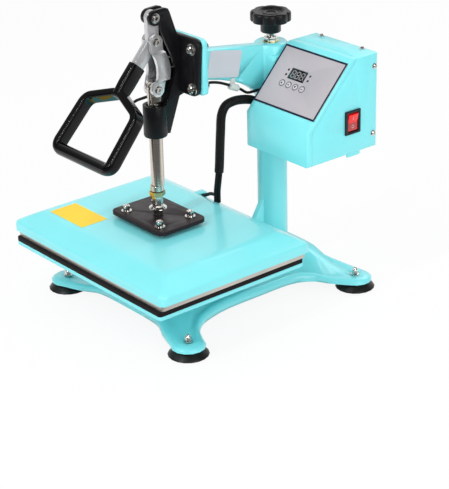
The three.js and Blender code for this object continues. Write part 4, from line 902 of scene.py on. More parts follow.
@dataclass
class Studio:
    """Floor, soft lamps and the camera of the photograph."""

    focal_px: float = 1653.98
    long_side_px: float = 489.0
    sensor_mm: float = 36.0
    sight_m: float = 50.0
    azimuth: float = 50.66
    elevation: float = 24.48
    roll: float = -1.39
    eye_mm: Point = (1523.9, -1139.5, 950.3)
    floor_half: float = 30000.0
    floor_levels: Pair = (-4.0, -0.4)
    floor_grey: float = 0.8
    floor_roughness: float = 0.9
    floor_glow: float = 0.9
    room_level: float = 0.68
    room_tint: Colour = (0.96, 0.98, 1.0)
    front_wall: float = 0.05
    card_way: Point = (0.77, -0.63, 0.0)
    card_span: Pair = (0.12, 0.45)
    wall_way: Point = (0.72, -0.62, 0.31)
    wall_span: Pair = (-0.85, 0.05)
    lamp_target: Point = (0.0, 70.0, 150.0)
    lamps: tuple[tuple[str, Point, Pair, float], ...] = (
        ("key_lamp", (-700, -1500, 1800), (1500, 1500), 7.0),
        ("right_fill", (1800, -100, 900), (1300, 1300), 15.0),
        ("back_lamp", (-300, 1700, 1500), (1100, 1100), 9.0),
        ("strip_lamp", (230, -1250, 1450), (45, 1500), 15.0),
    )

    def build(self) -> None:
        """Sets up the whole studio."""
        self._camera()
        self._floor()
        self._world()
        self._lamps()

    def _camera(self) -> None:
        """Stands the camera where the photograph was taken."""
        azimuth, elevation, roll = (math.radians(value) for value in (self.azimuth, self.elevation, self.roll))
        back = Vector((math.sin(azimuth) * math.cos(elevation), -math.cos(azimuth) * math.cos(elevation),
                       math.sin(elevation)))
        right = Vector((math.cos(azimuth), math.sin(azimuth), 0))
        lens = bpy.data.cameras.new("photo_camera")
        lens.sensor_fit = "AUTO"
        lens.sensor_width = self.sensor_mm
        lens.lens = self.focal_px * self.sensor_mm / self.long_side_px
        lens.clip_end = self.sight_m
        camera = linked("photo_camera", lens)
        rolled = right * math.cos(roll) + back.cross(right) * math.sin(roll)
        camera.matrix_world = frame_at(mm(*self.eye_mm), back, rolled)
        bpy.context.scene.camera = camera

    def _backdrop_rays(self, wires: Wiring) -> Socket:
        """Marks the rays that see the backdrop: the camera's, mirrored and refracted ones.

        Args:
            wires: the tree that is being built.

        Returns:
            One for such a ray, and zero for the others.
        """
        path = wires.node("ShaderNodeLightPath", {}).outputs
        both = wires.math("MAXIMUM", path["Is Camera Ray"], path["Is Glossy Ray"])
        return wires.math("MAXIMUM", both, path["Is Transmission Ray"])

    def _dimmed_mirror(self, wires: Wiring, out: str, way: Point, span: Pair) -> Socket:
        """Gives full white to every ray but the mirrored ones, which see less toward the lens.

        Args:
            wires: the tree that is being built.
            out: the coordinate that says where a ray ends.
            way: the direction in which the white gets dimmer.
            span: where the dimming starts and where it is complete.

        Returns:
            The white's strength.
        """
        place = wires.socket("ShaderNodeTexCoord", out)
        ahead = wires.socket("ShaderNodeVectorMath", "Value", {0: place, 1: way}, operation="DOT_PRODUCT")
        dimness = wires.socket("ShaderNodeMapRange", "Result", {
            "Value": ahead, "From Min": span[0], "From Max": span[1], "To Max": 1.0 - self.front_wall,
        }, interpolation_type="SMOOTHSTEP")
        glossy = wires.socket("ShaderNodeLightPath", "Is Glossy Ray")
        return wires.math("SUBTRACT", 1.0, wires.math("MULTIPLY", dimness, glossy))

    def _floor(self) -> None:
        """Lays a pale floor that shows as white, takes the shadow and mirrors as a dark card in front."""
        half = self.floor_half
        outline = [(-half, -half), (half, -half), (half, half), (-half, half)]
        floor = linked("floor", Shaper().slab(outline, *self.floor_levels, Matrix.Identity(4)).mesh("floor"))
        paint = bpy.data.materials.new("pale_floor")
        paint.use_nodes = True
        paint.node_tree.nodes.clear()
        wires = Wiring(paint.node_tree)
        skin = wires.socket("ShaderNodeBsdfPrincipled", "BSDF", {
            "Base Color": (*[self.floor_grey] * 3, 1.0), "Roughness": self.floor_roughness,
            "Specular IOR Level": 0.0,
        })
        white = wires.socket("ShaderNodeEmission", "Emission", {
            "Strength": self._dimmed_mirror(wires, "Object", self.card_way, self.card_span),
        })
        share = wires.math("MULTIPLY", self._backdrop_rays(wires), self.floor_glow)
        mix = wires.socket("ShaderNodeMixShader", "Shader", {0: share, 1: skin, 2: white})
        wires.node("ShaderNodeOutputMaterial", {"Surface": mix})
        floor.data.materials.append(paint)

    def _world(self) -> None:
        """Fills the room with even light; polished parts see it white, and dim on the side of the lens."""
        world = bpy.data.worlds.new("soft_room")
        bpy.context.scene.world = world
        world.use_nodes = True
        world.node_tree.nodes.clear()
        wires = Wiring(world.node_tree)
        lit = wires.socket("ShaderNodeBackground", "Background", {
            "Color": (*self.room_tint, 1.0), "Strength": self.room_level,
        })
        seen = wires.socket("ShaderNodeBackground", "Background", {
            "Color": (1.0, 1.0, 1.0, 1.0),
            "Strength": self._dimmed_mirror(wires, "Generated", self.wall_way, self.wall_span),
        })
        mix = wires.socket("ShaderNodeMixShader", "Shader", {0: self._backdrop_rays(wires), 1: lit, 2: seen})
        wires.node("ShaderNodeOutputWorld", {"Surface": mix})

    def _lamps(self) -> None:
        """Hangs the lamps: a broad key, a fill on the right, one behind and a narrow strip for edges."""
        for name, place, (width, height), power in self.lamps:
            lamp = bpy.data.lights.new(name, "AREA")
            lamp.shape = "RECTANGLE"
            lamp.size, lamp.size_y = width * MILLIMETRE, height * MILLIMETRE
            lamp.energy = power
            aim = (mm(*self.lamp_target) - mm(*place)).to_track_quat("-Z", "Y")
            linked(name, lamp).matrix_world = Matrix.Translation(mm(*place)) @ aim.to_matrix().to_4x4()


@dataclass
class SubAssembly:
    """A part of the press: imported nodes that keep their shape, and pieces of its own."""

    workshop: Workshop
    shells: tuple[Shell, ...] = ()

    def dress(self) -> dict[str, bpy.types.Object]:
        """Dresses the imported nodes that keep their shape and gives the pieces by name."""
        return {shell.piece: self.workshop.refined(shell) for shell in self.shells}


@dataclass
class CastBase(SubAssembly):
    """Four-legged casting with its feet, post, shaft and padded bed."""

    shells: tuple[Shell, ...] = (
        Shell("base_casting", "cast_base", TURQUOISE_CAST, bevel=0.0, crease=60),
        Shell("post_tube", "post_with_fin", TURQUOISE, bevel=1.2),
        Shell("pivot_shaft", "pivot_shaft_ground", GROUND_ROD, bevel=0.0),
        Shell("thrust_bearing", "thrust_bearing_race", PLATED, bevel=0.0),
        Shell("lower_plate", "bed_plate", TURQUOISE, bevel=0.6),
        Shell("silicone_pad", "bed_pad", SPONGE, bevel=0.8),
    )
    corners: tuple[str, ...] = ("front_right", "front_left", "rear_right", "rear_left")

    def build(self) -> None:
        """Dresses every node of the base."""
        self.dress()
        for corner in self.corners:
            foot = Shell(f"foot_{corner}", f"rubber_foot_{corner}", FOOT_RUBBER, crease=50)
            stud = Shell(f"foot_bolt_{corner}", f"acorn_stud_{corner}", PLATED, bevel=0.2)
            self.workshop.refined(foot)
            self.workshop.refined(stud)


@dataclass
class SwingArm(SubAssembly):
    """Arm casting with its toggle bracket, their bolts and the blank plate."""

    shells: tuple[Shell, ...] = (
        Shell("swing_arm", "arm_casting", TURQUOISE_CAST, bevel=1.0, crease=45),
        Shell("toggle_bracket", "toggle_bracket_casting", TEXTURED_BLACK, bevel=0.9, crease=45),
        Shell("spindle_nut", "spindle_nut_hex", PLATED, bevel=0.6),
    )
    face_x: float = 8.0
    label_at: Pair = (110.0, 302.4)
    label_size: tuple[float, float, float] = (52.0, 34.5, 2.4)
    label_levels: Pair = (0.05, 0.3)
    label_tilt: float = -11.5
    vent_at: Pair = (133.0, 279.6)
    vent_radius: float = 1.6
    vent_levels: Pair = (-4.0, 2.0)
    bolt_spread: float = 34.0
    bolt_levels: Pair = (343.0, 293.0)
    plate_front: float = 38.4
    bolt_parts: tuple[Part, ...] = (
        ("Head", 5.4, 3.0, 1.2), ("Crown", 3.9, 1.5, 4.19), ("Socket", 2.7, 4.0, 2.6),
        ("Washer", 7.4, 1.2, 0.02), ("Shank", 3.2, 16.0, -16.0), ("Back Washer", 7.4, 1.2, -17.2),
        ("Tail", 3.2, 8.0, -23.4), ("Nut", 5.8, 4.2, -21.4),
    )
    pin_at: Point = (8.9, 5.0, 383.0)
    pin_parts: tuple[Part, ...] = (
        ("Head", 5.1, 1.2, 0.3), ("Crown", 4.2, 0.7, 1.49), ("Socket", 2.4, 3.0, 0.7), ("Ring", 6.2, 0.5, -0.2),
        ("Shank", 4.0, 9.2, -8.9),
    )
    peg_x: float = 6.4
    peg_radius: float = 1.3
    peg_ease: float = 0.4
    pegs: tuple[Point, ...] = ((24.6, 31.5, 330.2), (24.8, 34.0, 317.4))

    def build(self) -> None:
        """Dresses the arm's castings, its bolts, the pivot pin and the blank plate."""
        arm = self.dress()["arm_casting"]
        drill = frame_at(mm(self.face_x, *self.vent_at), RIGHT, AWAY)
        self.workshop.cut_out(arm, Shaper().drum(self.vent_radius, *self.vent_levels, drill, sides=24))
        places = [(mm(side * self.bolt_spread, self.plate_front, z), -AWAY)
                  for z in self.bolt_levels for side in (1, -1)]
        self.workshop.screws("bracket_screws", places, self.bolt_parts,
                             replaces=tuple(f"bracket_bolt_{index}" for index in range(1, 5)))
        self.workshop.screws("lever_pivot_rivet", either_side(*self.pin_at), self.pin_parts,
                             replaces=("lever_pivot_pin",))
        self._pegs()
        self._label()

    def _pegs(self) -> None:
        """Sets the two small stop pegs in the front edge of the right cheek."""
        shape, radius, ease = Shaper(), self.peg_radius, self.peg_ease
        for front, back, z in self.pegs:
            reach = back - front
            profile = [(0, 0), (radius, 0), (radius, reach - ease), (radius - ease, reach), (0, reach)]
            shape.lathe(profile, frame_at(mm(self.peg_x, back, z), -AWAY), sides=20)
        self.workshop.piece("cheek_pegs", shape, PLATED)

    def _label(self) -> None:
        """Sets the blank foil plate on the arm's side."""
        tilt = math.radians(self.label_tilt)
        place = frame_at(mm(self.face_x, *self.label_at), RIGHT, Vector((0, math.cos(tilt), math.sin(tilt))))
        shape = Shaper().slab(round_corners(*self.label_size), *self.label_levels, place)
        self.workshop.piece("blank_plate", shape, PLATE_SILVER)


@dataclass
class PressureScrew(SubAssembly):
    """Star knob on a threaded spindle."""

    shells: tuple[Shell, ...] = (Shell("pressure_spindle", "knob_spindle", PLATED, bevel=0.0),)
    axis_y: float = 194.0
    thread_from: float = 313.5
    thread_length: float = 11.0
    thread_radius: float = 4.88
    pitch: float = 1.5
    ridge: float = 0.17
    washer_from: float = 312.3
    washer_radii: Pair = (6.0, 10.6)
    washer_levels: Pair = (0.05, 0.9)
    sides: int = 128
    lobes: int = 8
    valley_depth: float = 2.6
    lobe_power: float = 0.7
    hub_foot: float = 325.0
    knob_profile: tuple[Point, ...] = (
        (6.0, 0.0, 0.0), (12.3, 0.0, 0.0), (13.1, 0.8, 0.0), (13.1, 11.6, 0.0), (14.2, 13.0, 0.0),
        (17.5, 13.9, 0.1), (24.4, 14.0, 0.9), (25.6, 14.5, 1.0), (26.1, 15.6, 1.0), (26.1, 24.2, 1.0),
        (25.6, 25.9, 1.0), (24.4, 27.0, 0.95), (22.4, 27.4, 0.8), (19.6, 27.2, 0.45), (17.4, 26.4, 0.15),
        (16.2, 25.0, 0.0), (15.4, 24.2, 0.0), (10.4, 24.0, 0.0), (9.8, 24.8, 0.0), (9.2, 25.2, 0.0),
        (7.4, 25.2, 0.0), (6.8, 24.8, 0.0), (6.2, 24.0, 0.0), (2.0, 23.9, 0.0),
    )

    def build(self) -> None:
        """Dresses the knob and its spindle, with the visible thread and the washer."""
        self._knob()
        self.dress()
        thread_recipe().grow(self.workshop, "spindle_thread", [(mm(0, self.axis_y, self.thread_from), UP)], {
            "Radius": self.thread_radius, "Pitch": self.pitch, "Ridge": self.ridge,
            "Length": self.thread_length,
        }, "knob", crease=20)
        foot = Matrix.Translation(mm(0, self.axis_y, self.washer_from))
        washer = Shaper().ring(self.washer_radii, self.washer_levels, foot, sides=40)
        self.workshop.piece("spindle_washer", washer, WARM_NUT)

    def _knob(self) -> None:
        """Moulds the star knob, its fluted rim round a dished top."""
        valleys = [1 - abs(math.cos(self.lobes / 2 * math.tau * step / self.sides)) ** self.lobe_power
                   for step in range(self.sides)]
        rings = []
        for radius, height, share in self.knob_profile:
            reaches = [radius - share * self.valley_depth * valley for valley in valleys]
            rings.append([mm(reach * u, self.axis_y + reach * v, self.hub_foot + height)
                          for reach, (u, v) in zip(reaches, circle(self.sides))])
        self.workshop.piece("star_knob", Shaper().loft(rings), KNOB_PLASTIC, "knob", ("pressure_knob",),
                            crease=50)


@dataclass
class ToggleLever(SubAssembly):
    """Lever, dipped loop handle and the joggled links."""

    shells: tuple[Shell, ...] = (
        Shell("lever_bar", "lever_casting", CAST_ALLOY, bevel=1.0, crease=45),
        Shell("link_right", "toggle_link_right", PRESSED_STEEL, bevel=0.9, crease=35, segments=3),
        Shell("link_left", "toggle_link_left", PRESSED_STEEL, bevel=0.9, crease=35, segments=3),
    )
    apex_y: float = -44.05
    apex_z: float = 299.03
    slope_degrees: float = 48.0
    corners: tuple[Point, ...] = (
        (0.0, 0.0, 0.0), (50.5, 20.0, 0.0), (54.0, 91.3, 1.0), (-54.0, 91.3, 1.0), (-50.5, 20.0, 0.0),
    )
    bend: float = 10.0
    bend_steps: int = 10
    bar: tuple[float, float, float] = (5.0, 8.5, 0.3)
    grip: tuple[float, float, float] = (7.8, 7.8, 1.0)
    sides: int = 48
    neck_stations: tuple[Point, ...] = (
        (-38.0, 4.6, 9.6), (-37.6, 5.2, 10.2), (-36.8, 5.5, 10.5), (-12.0, 5.5, 10.5), (-4.0, 5.6, 9.8),
        (2.0, 6.0, 8.9), (5.0, 5.6, 8.3), (7.4, 4.4, 7.0),
    )
    pins: tuple[tuple[str, Point], ...] = (
        ("link_pin_upper", (9.4, 5.0, 353.5)), ("link_pin_lower", (9.4, 5.0, 293.5)),
    )
    pin_parts: tuple[Part, ...] = (
        ("Head", 4.7, 1.2, 0.2), ("Crown", 3.9, 0.7, 1.39), ("Socket", 2.3, 3.0, 0.6), ("Ring", 6.0, 0.4, -0.2),
        ("Shank", 4.0, 9.7, -9.4),
    )

    def __post_init__(self) -> None:
        """Works out the directions of the handle's plane."""
        slope = math.radians(self.slope_degrees)
        self.along = Vector((0, -math.cos(slope), -math.sin(slope)))
        self.normal = Vector((0, -math.sin(slope), math.cos(slope)))

    def build(self) -> None:
        """Dresses the moving castings, the handle and the pins that rivet the links."""
        self.dress()
        self._handle()
        for node, end in self.pins:
            body = self.workshop.body(node)
            self.workshop.screws(f"{node}_rivet", either_side(*end), self.pin_parts, body, (node,))

    def _place(self, across: float, reach: float) -> Vector:
        """Gives a point of the handle's plane."""
        return mm(across, self.apex_y, self.apex_z) + self.along * reach * MILLIMETRE

    def _section(self, point: Vector, sideways: Vector, half: float, depth: float,
                 power: float) -> list[Vector]:
        """Draws one section of the bar.

        Args:
            point: its middle.
            sideways: the direction of its half width.
            half: the half width.
            depth: the half depth.
            power: one for an ellipse, and less for flatter sides.

        Returns:
            The section's points.
        """
        return [point + sideways * math.copysign(abs(u) ** power, u) * half * MILLIMETRE
                + self.normal * math.copysign(abs(v) ** power, v) * depth * MILLIMETRE
                for u, v in circle(self.sides, 0.5)]

    def _path(self) -> list[tuple[Vector, float]]:
        """Bends the loop round its corners.

        Returns:
            The points, each with its share of roundness.
        """
        path = []
        turns = zip(self.corners[-1:] + self.corners, self.corners, self.corners[1:] + self.corners[:1])
        for before, here, after in turns:
            at = self._place(*here[:2])
            start, end = (at + (self._place(*other[:2]) - at).normalized() * self.bend * MILLIMETRE
                          for other in (before, after))
            enters, leaves = here[2] * before[2], here[2] * after[2]
            for step in range(self.bend_steps + 1):
                share = step / self.bend_steps
                point = start.lerp(at, share).lerp(at.lerp(end, share), share)
                path.append((point, enters + (leaves - enters) * share))
        return path

    def _handle(self) -> None:
        """Dips the loop, round where the hand holds it, and its neck in vinyl as one skin."""
        path, rings = self._path(), []
        for index, (point, roundness) in enumerate(path):
            ahead = path[(index + 1) % len(path)][0] - path[index - 1][0]
            sizes = (flat + (full - flat) * roundness for flat, full in zip(self.bar, self.grip))
            rings.append(self._section(point, ahead.cross(self.normal).normalized(), *sizes))
        neck = [self._section(self._place(0, reach), RIGHT, half, depth, self.bar[2])
                for reach, half, depth in self.neck_stations]
        grip = self.workshop.piece("dipped_handle", Shaper().loft(rings, True), DIPPED_VINYL, "lever",
                                   ("handle_grip",), crease=60)
        self.workshop.cut_out(grip, Shaper().loft(neck), "UNION", crease=60)


@dataclass
class Plunger(SubAssembly):
    """Plunger rod, its adjusting stud and the heated platen that hangs on it."""

    shells: tuple[Shell, ...] = (
        Shell("plunger_rod", "plunger_rod_ground", GROUND_ROD, bevel=0.4),
        Shell("mounting_plate", "mounting_plate_black", SATIN_BLACK, bevel=0.8),
        Shell("heating_platen", "heated_plate", MILLED, bevel=0.4),
    )
    axis_y: float = 3.5
    ferrule_radius: float = 8.55
    ferrule_levels: Pair = (160.5, 168.2)
    ferrule_ease: Pair = (0.8, 0.2)
    mount_top: float = 128.7
    collar_profile: tuple[Pair, ...] = (
        (0, 0.05), (6.4, 0.05), (6.4, 0.9), (5.9, 1.4), (5.9, 7.3), (6.6, 7.9), (0, 7.9),
    )
    flange_foot: float = 136.6
    flange_profile: tuple[Pair, ...] = ((0, 0), (10.6, 0), (11.4, 0.6), (11.2, 1.3), (8.6, 3.4), (0, 3.4))
    stud_nut_radius: float = 6.9
    stud_nut_levels: Pair = (137.6, 153.6)
    stud_radius: float = 5.0
    stud_levels: Pair = (151.6, 159.6)
    lock_nut_radius: float = 10.0
    lock_nut_levels: Pair = (153.9, 160.3)
    bolt_spread: Pair = (34.0, 24.0)
    bolt_parts: tuple[Part, ...] = (
        ("Head", 4.4, 6.0, 1.2), ("Crown", 3.8, 0.6, 7.19), ("Socket", 2.6, 5.0, 4.4),
        ("Washer", 6.7, 1.0, 0.02), ("Shank", 3.0, 16.0, -16.0), ("Spacer", 5.8, 4.96, -9.98),
    )
    plateau: float = 118.7
    cover_size: Pair = (310.0, 232.6)
    cover_corner: float = 8.0
    least_corner: float = 2.0
    corner_inset_share: float = 0.16
    corner_steps: int = 8
    cover_wall: float = 1.5
    cover_profile: tuple[Pair, ...] = (
        (0.0, 92.1), (0.0, 101.2), (0.25, 102.6), (0.9, 103.9), (2.0, 104.9), (3.6, 105.8), (8.0, 108.25),
        (16.0, 112.6), (21.0, 115.3), (23.5, 116.5), (26.0, 117.45), (28.5, 118.1), (31.5, 118.5),
        (35.0, 118.68), (40.0, 118.7),
    )
    hump_at: Pair = (-50.0, 111.8)
    hump_size: tuple[float, float, float] = (12.0, 15.6, 3.0)
    hump_profile: tuple[Pair, ...] = ((0.0, 100.9), (0.0, 110.4), (0.6, 112.0), (2.0, 112.9))
    hump_reach: Pair = (6.0, 8.0)
    sticker_at: Pair = (-83.0, -60.3)
    sticker_size: tuple[float, float, float] = (69.5, 39.6, 1.0)
    sticker_levels: Pair = (0.04, 0.26)

    def build(self) -> None:
        """Dresses the rod, the stud, the bolts and the platen."""
        self.dress()
        self._stud()
        places = [(mm(u * self.bolt_spread[0], self.axis_y + v * self.bolt_spread[1], self.mount_top), UP)
                  for v in (1, -1) for u in (1, -1)]
        self.workshop.screws("plate_screws", places, self.bolt_parts, "platen",
                             tuple(f"plate_bolt_{index}" for index in range(1, 5)))
        self._cover()
        top = Matrix.Translation(mm(*self.sticker_at, self.plateau))
        foil = Shaper().slab(round_corners(*self.sticker_size), *self.sticker_levels, top)
        self.workshop.piece("blank_sticker", foil, STICKER_YELLOW, "platen")

    def _axis(self, level: float) -> Matrix:
        """Gives the plunger's axis at a level."""
        return Matrix.Translation(mm(0, self.axis_y, level))

    def _stud(self) -> None:
        """Ends the rod in a ferrule and builds the stud: a dark collar, a tall flanged nut and a lock nut."""
        keep = self.workshop.piece
        low, high = self.ferrule_levels
        ferrule = eased_profile(self.ferrule_radius, high - low, *self.ferrule_ease)
        keep("rod_ferrule", Shaper().lathe(ferrule, self._axis(low), sides=64), GROUND_ROD, "platen")
        collar = Shaper().lathe(self.collar_profile, self._axis(self.mount_top))
        keep("stud_collar", collar, DARK_COLLAR, "platen")
        low, high = self.stud_nut_levels
        stud = Shaper().lathe(self.flange_profile, self._axis(self.flange_foot))
        stud.lathe(eased_profile(self.stud_nut_radius, high - low), self._axis(low), sides=6)
        stud.drum(self.stud_radius, *self.stud_levels, self._axis(0), sides=32)
        keep("adjusting_stud_nut", stud, PLATED, "platen", ("adjusting_stud",), crease=30)
        low, high = self.lock_nut_levels
        nut = Shaper().lathe(eased_profile(self.lock_nut_radius, high - low), self._axis(low), sides=6)
        keep("lock_nut_hex", nut, WARM_NUT, "platen", ("lock_nut",), crease=30)

    def _ring(self, inset: float, level: float) -> list[Vector]:
        """Gives one ring of the cover.

        Args:
            inset: how far it is drawn in.
            level: its height.

        Returns:
            The ring's points.
        """
        corner = max(self.cover_corner - self.corner_inset_share * inset, self.least_corner)
        width, depth = (size - 2 * inset for size in self.cover_size)
        outline = round_corners(width, depth, corner, 0, self.axis_y, self.corner_steps)
        return [mm(u, v, level) for u, v in outline]

    def _cover(self) -> None:
        """Presses the cover as one soft-edged shell, with the small box for the wires on its back edge."""
        wall, (first, *others) = self.cover_wall, self.cover_profile
        outer = [self._ring(*station) for station in self.cover_profile]
        inner = [self._ring(first[0] + wall, first[1])]
        inner += [self._ring(inset + wall, level - wall) for inset, level in others]
        under, centre = ([mm(0, self.axis_y, level)] * len(outer[0])
                         for level in (self.plateau - wall, self.plateau))
        shape = Shaper().loft([under, *reversed(inner), *outer, centre])
        cover = self.workshop.piece("pressed_cover", shape, TURQUOISE_PRESSED, "platen", ("platen_cover",),
                                    crease=50)
        (x, y), (across, back) = self.hump_at, self.hump_reach
        hump = [[mm(x + u * (1 - inset / across), y + v * (1 - inset / back), level)
                 for u, v in round_corners(*self.hump_size)] for inset, level in self.hump_profile]
        self.workshop.cut_out(cover, Shaper().loft(hump), "UNION", crease=50)


@dataclass
class ControlBox(SubAssembly):
    """Sheet-metal box with its membrane panel, keys and rocker switch."""

    shells: tuple[Shell, ...] = (
        Shell("control_box_front", "box_front_tray", TURQUOISE, bevel=0.35, crease=50),
        Shell("control_box_housing", "box_housing", TURQUOISE, bevel=0.35, crease=50),
        Shell("control_box_back", "box_back_panel", TURQUOISE, bevel=0.3, crease=50),
        Shell("switch_housing", "switch_bezel", SWITCH_BLACK, bevel=0.4),
        Shell("switch_rocker", "switch_rocker_red", ROCKER_RED, bevel=0.6),
        Shell("control_overlay", "membrane_film", MEMBRANE, bevel=0.1),
        Shell("display_window", "display_glass", WINDOW, bevel=0.3),
        *(Shell(f"key_{index}", f"membrane_key_{index}", KEY_DOME, bevel=0.3) for index in range(1, 5)),
    )
    left: float = 27.0
    right: float = 142.0
    front_y: float = 127.4
    bottom: float = 196.2
    top: float = 318.8
    apron: float = 45.6
    rise: float = 77.0
    run: float = 72.4
    membrane_middle: Pair = (57.8, 57.9)
    membrane_size: Pair = (111.6, 83.4)
    border: float = 2.5
    border_corner: float = 0.2
    print_levels: Pair = (0.85, 0.97)
    key_x: float = 31.2
    key_y: float = 49.5
    key_pitch: float = 12.1
    key_ring: Pair = (3.9, 4.6)
    key_bodies: tuple[str, ...] = ("key_up", "key_cycle", "key_down", "key_set")
    symbol_levels: Pair = (1.25, 1.38)
    symbols: tuple[tuple[Pair, ...], ...] = (
        ((-1.7, -1.3), (1.7, -1.3), (0, 1.8)),
        ((-1.7, -0.45), (0.2, -0.45), (0.2, -1.4), (1.8, 0), (0.2, 1.4), (0.2, 0.45), (-1.7, 0.45)),
        ((-1.7, 1.3), (0, -1.8), (1.7, 1.3)),
        ((-1.7, -0.45), (1.7, -0.45), (1.7, 0.45), (-1.7, 0.45)),
    )
    lamps: tuple[Pair, ...] = ((30.0, 68.3), (30.0, 61.5), (69.1, 68.7), (69.1, 62.0))
    lamp_profile: tuple[Pair, ...] = ((0, 0.8), (1.6, 0.8), (1.6, 1.1), (0.9, 1.5), (0, 1.65))
    display_at: Pair = (34.4, 57.6)
    display_size: Pair = (28.6, 14.8)
    figure_share: Pair = (0.36, 0.62)
    figure_shares: tuple[float, ...] = (0.22, 0.5, 0.78)
    figure_levels: Pair = (0.45, 0.61)
    figure_lean: float = 0.12
    stroke: float = 1.1
    stroke_corner: float = 0.3
    strokes: tuple[tuple[float, float, bool], ...] = (
        (0, 0.5, True), (0, 0, True), (0, -0.5, True), (-0.5, 0.25, False), (0.5, 0.25, False),
        (-0.5, -0.25, False), (0.5, -0.25, False),
    )
    dot_gap: float = 1.5
    dot_corner: float = 0.4
    screw_y: float = 240.7
    side_screws: tuple[Pair, ...] = ((238.8, 302.5), (238.0, 214.9))
    top_screws: tuple[float, ...] = (45.0, 118.2)
    screw_parts: tuple[Part, ...] = (
        ("Head", 3.3, 1.1, 0.3), ("Crown", 2.1, 1.0, 1.39), ("Washer", 3.9, 0.4, 0.02),
    )
    screw_slot: float = 0.9
    rocker_at: Point = (142.9, 201.8, 238.6)
    rocker_pitch: float = 11.0
    # Outline and levels of the darker red slab of painted shade on the rocker's lower half.
    lens_outline: tuple[float, ...] = (13.6, 9.0, 1.6, 0.0, -5.4)
    lens_levels: Pair = (-0.1, 0.12)
    mark_ring: Pair = (1.5, 2.1)
    mark_ring_v: float = -5.6
    mark_ring_levels: Pair = (0.05, 0.22)
    mark_bar: tuple[float, ...] = (0.8, 4.4, 0.3, 0.0, 5.2)
    mark_bar_levels: Pair = (-0.05, 0.14)
    lug_size: tuple[float, float, float] = (22.0, 4.4, 1.2)
    lug_y: float = 206.0
    lug_drop: float = 1.9
    lug_levels: Pair = (-3.2, -1.7)

    def __post_init__(self) -> None:
        """Works out the frame of the sloping panel: X across, Y up the slope, Z outward."""
        normal = RIGHT.cross(Vector((0, self.run, self.rise)))
        self.slope = frame_at(mm(self.left, self.front_y, self.bottom + self.apron), normal)

    def build(self) -> None:
        """Dresses the box and adds its small parts."""
        self.dress()
        self._border()
        self._keys()
        self._figures()
        self._rocker_marks()
        lug = round_corners(*self.lug_size, self.lug_y, self.bottom - self.lug_drop)
        side = frame_at(mm(self.right, 0, 0), RIGHT, AWAY)
        self.workshop.piece("box_lug", Shaper().slab(lug, *self.lug_levels, side), TURQUOISE)
        self._screws()

    def _border(self) -> None:
        """Prints the navy line round the membrane."""
        (x, y), (width, height), line = self.membrane_middle, self.membrane_size, self.border
        shape, across, upward = Shaper(), (width - line) / 2, (height - line) / 2
        for u, v, size in ((0, upward, (width, line)), (0, -upward, (width, line)),
                           (across, 0, (line, height - 2 * line)), (-across, 0, (line, height - 2 * line))):
            outline = round_corners(*size, self.border_corner, x + u, y + v, steps=1)
            shape.slab(outline, *self.print_levels, self.slope)
        self.workshop.piece("membrane_border", shape, PRINTED_NAVY)

    def _keys(self) -> None:
        """Draws a ring round each key, a plain symbol on it, and the lamps."""
        rings, dots = Shaper(), Shaper()
        for index, (outline, body) in enumerate(zip(self.symbols, self.key_bodies)):
            here = self.slope @ shift(self.key_x + index * self.key_pitch, self.key_y)
            rings.ring(self.key_ring, self.print_levels, here, sides=40)
            mark = Shaper().slab(outline, *self.symbol_levels, here)
            self.workshop.piece(f"key_symbol_{index + 1}", mark, PRINTED_NAVY, body)
        for place in self.lamps:
            dots.lathe(self.lamp_profile, self.slope @ shift(*place), sides=24)
        self.workshop.piece("key_rings", rings, PRINTED_NAVY)
        self.workshop.piece("panel_lamps", dots, LAMP_DARK)

    def _figures(self) -> None:
        """Shows the unlit seven-segment figures behind the window."""
        (x, y), (width, height), shape = self.display_at, self.display_size, Shaper()
        wide, tall = (height * share for share in self.figure_share)
        for share in self.figure_shares:
            across, middle = x + width * share, y + height / 2
            for u, v, lies in self.strokes:
                size = (wide - self.stroke, self.stroke) if lies else (self.stroke, tall / 2 - self.stroke)
                lean = self.figure_lean * v * tall
                outline = round_corners(*size, self.stroke_corner, across + u * wide + lean,
                                        middle + v * tall, steps=2)
                shape.slab(outline, *self.figure_levels, self.slope)
            dot = round_corners(self.stroke, self.stroke, self.dot_corner, across + wide / 2 + self.dot_gap,
                                middle - tall / 2, steps=3)
            shape.slab(dot, *self.figure_levels, self.slope)
        self.workshop.piece("display_figures", shape, DIGIT)

    def _rocker_marks(self) -> None:
        """Sets a darker red slab on the rocker's lower half as painted shade, with a printed ring on it and a
        bar above.
        """
        body, pitch = self.workshop.body("switch_rocker"), math.radians(self.rocker_pitch)
        lower = frame_at(mm(*self.rocker_at), RIGHT, AWAY)
        upper = frame_at(mm(*self.rocker_at), Vector((math.cos(pitch), 0, -math.sin(pitch))), AWAY)
        # The darker red slab on the lower half is painted shade.
        lens = Shaper().slab(round_corners(*self.lens_outline), *self.lens_levels, lower)
        self.workshop.piece("rocker_painted_shade", lens, ROCKER_PAINTED_SHADE, body)
        middle = lower @ shift(0, self.mark_ring_v)
        marks = Shaper().ring(self.mark_ring, self.mark_ring_levels, middle, sides=32)
        marks.slab(round_corners(*self.mark_bar, steps=2), *self.mark_bar_levels, upper)
        self.workshop.piece("rocker_marks", marks, ROCKER_MARK, body)

    def _screws(self) -> None:
        """Fixes the box with cross-head screws on its top and its two sides."""
        places = [(mm(x, self.screw_y, self.top), UP) for x in self.top_screws]
        places += [(mm(face, *spot), RIGHT * side) for face, side in ((self.right, 1), (self.left, -1))
                   for spot in self.side_screws]
        sizes = {**stack(self.screw_parts), "Slot Width": self.screw_slot}
        cross_screw_recipe().grow(self.workshop, "box_screws", places, sizes)


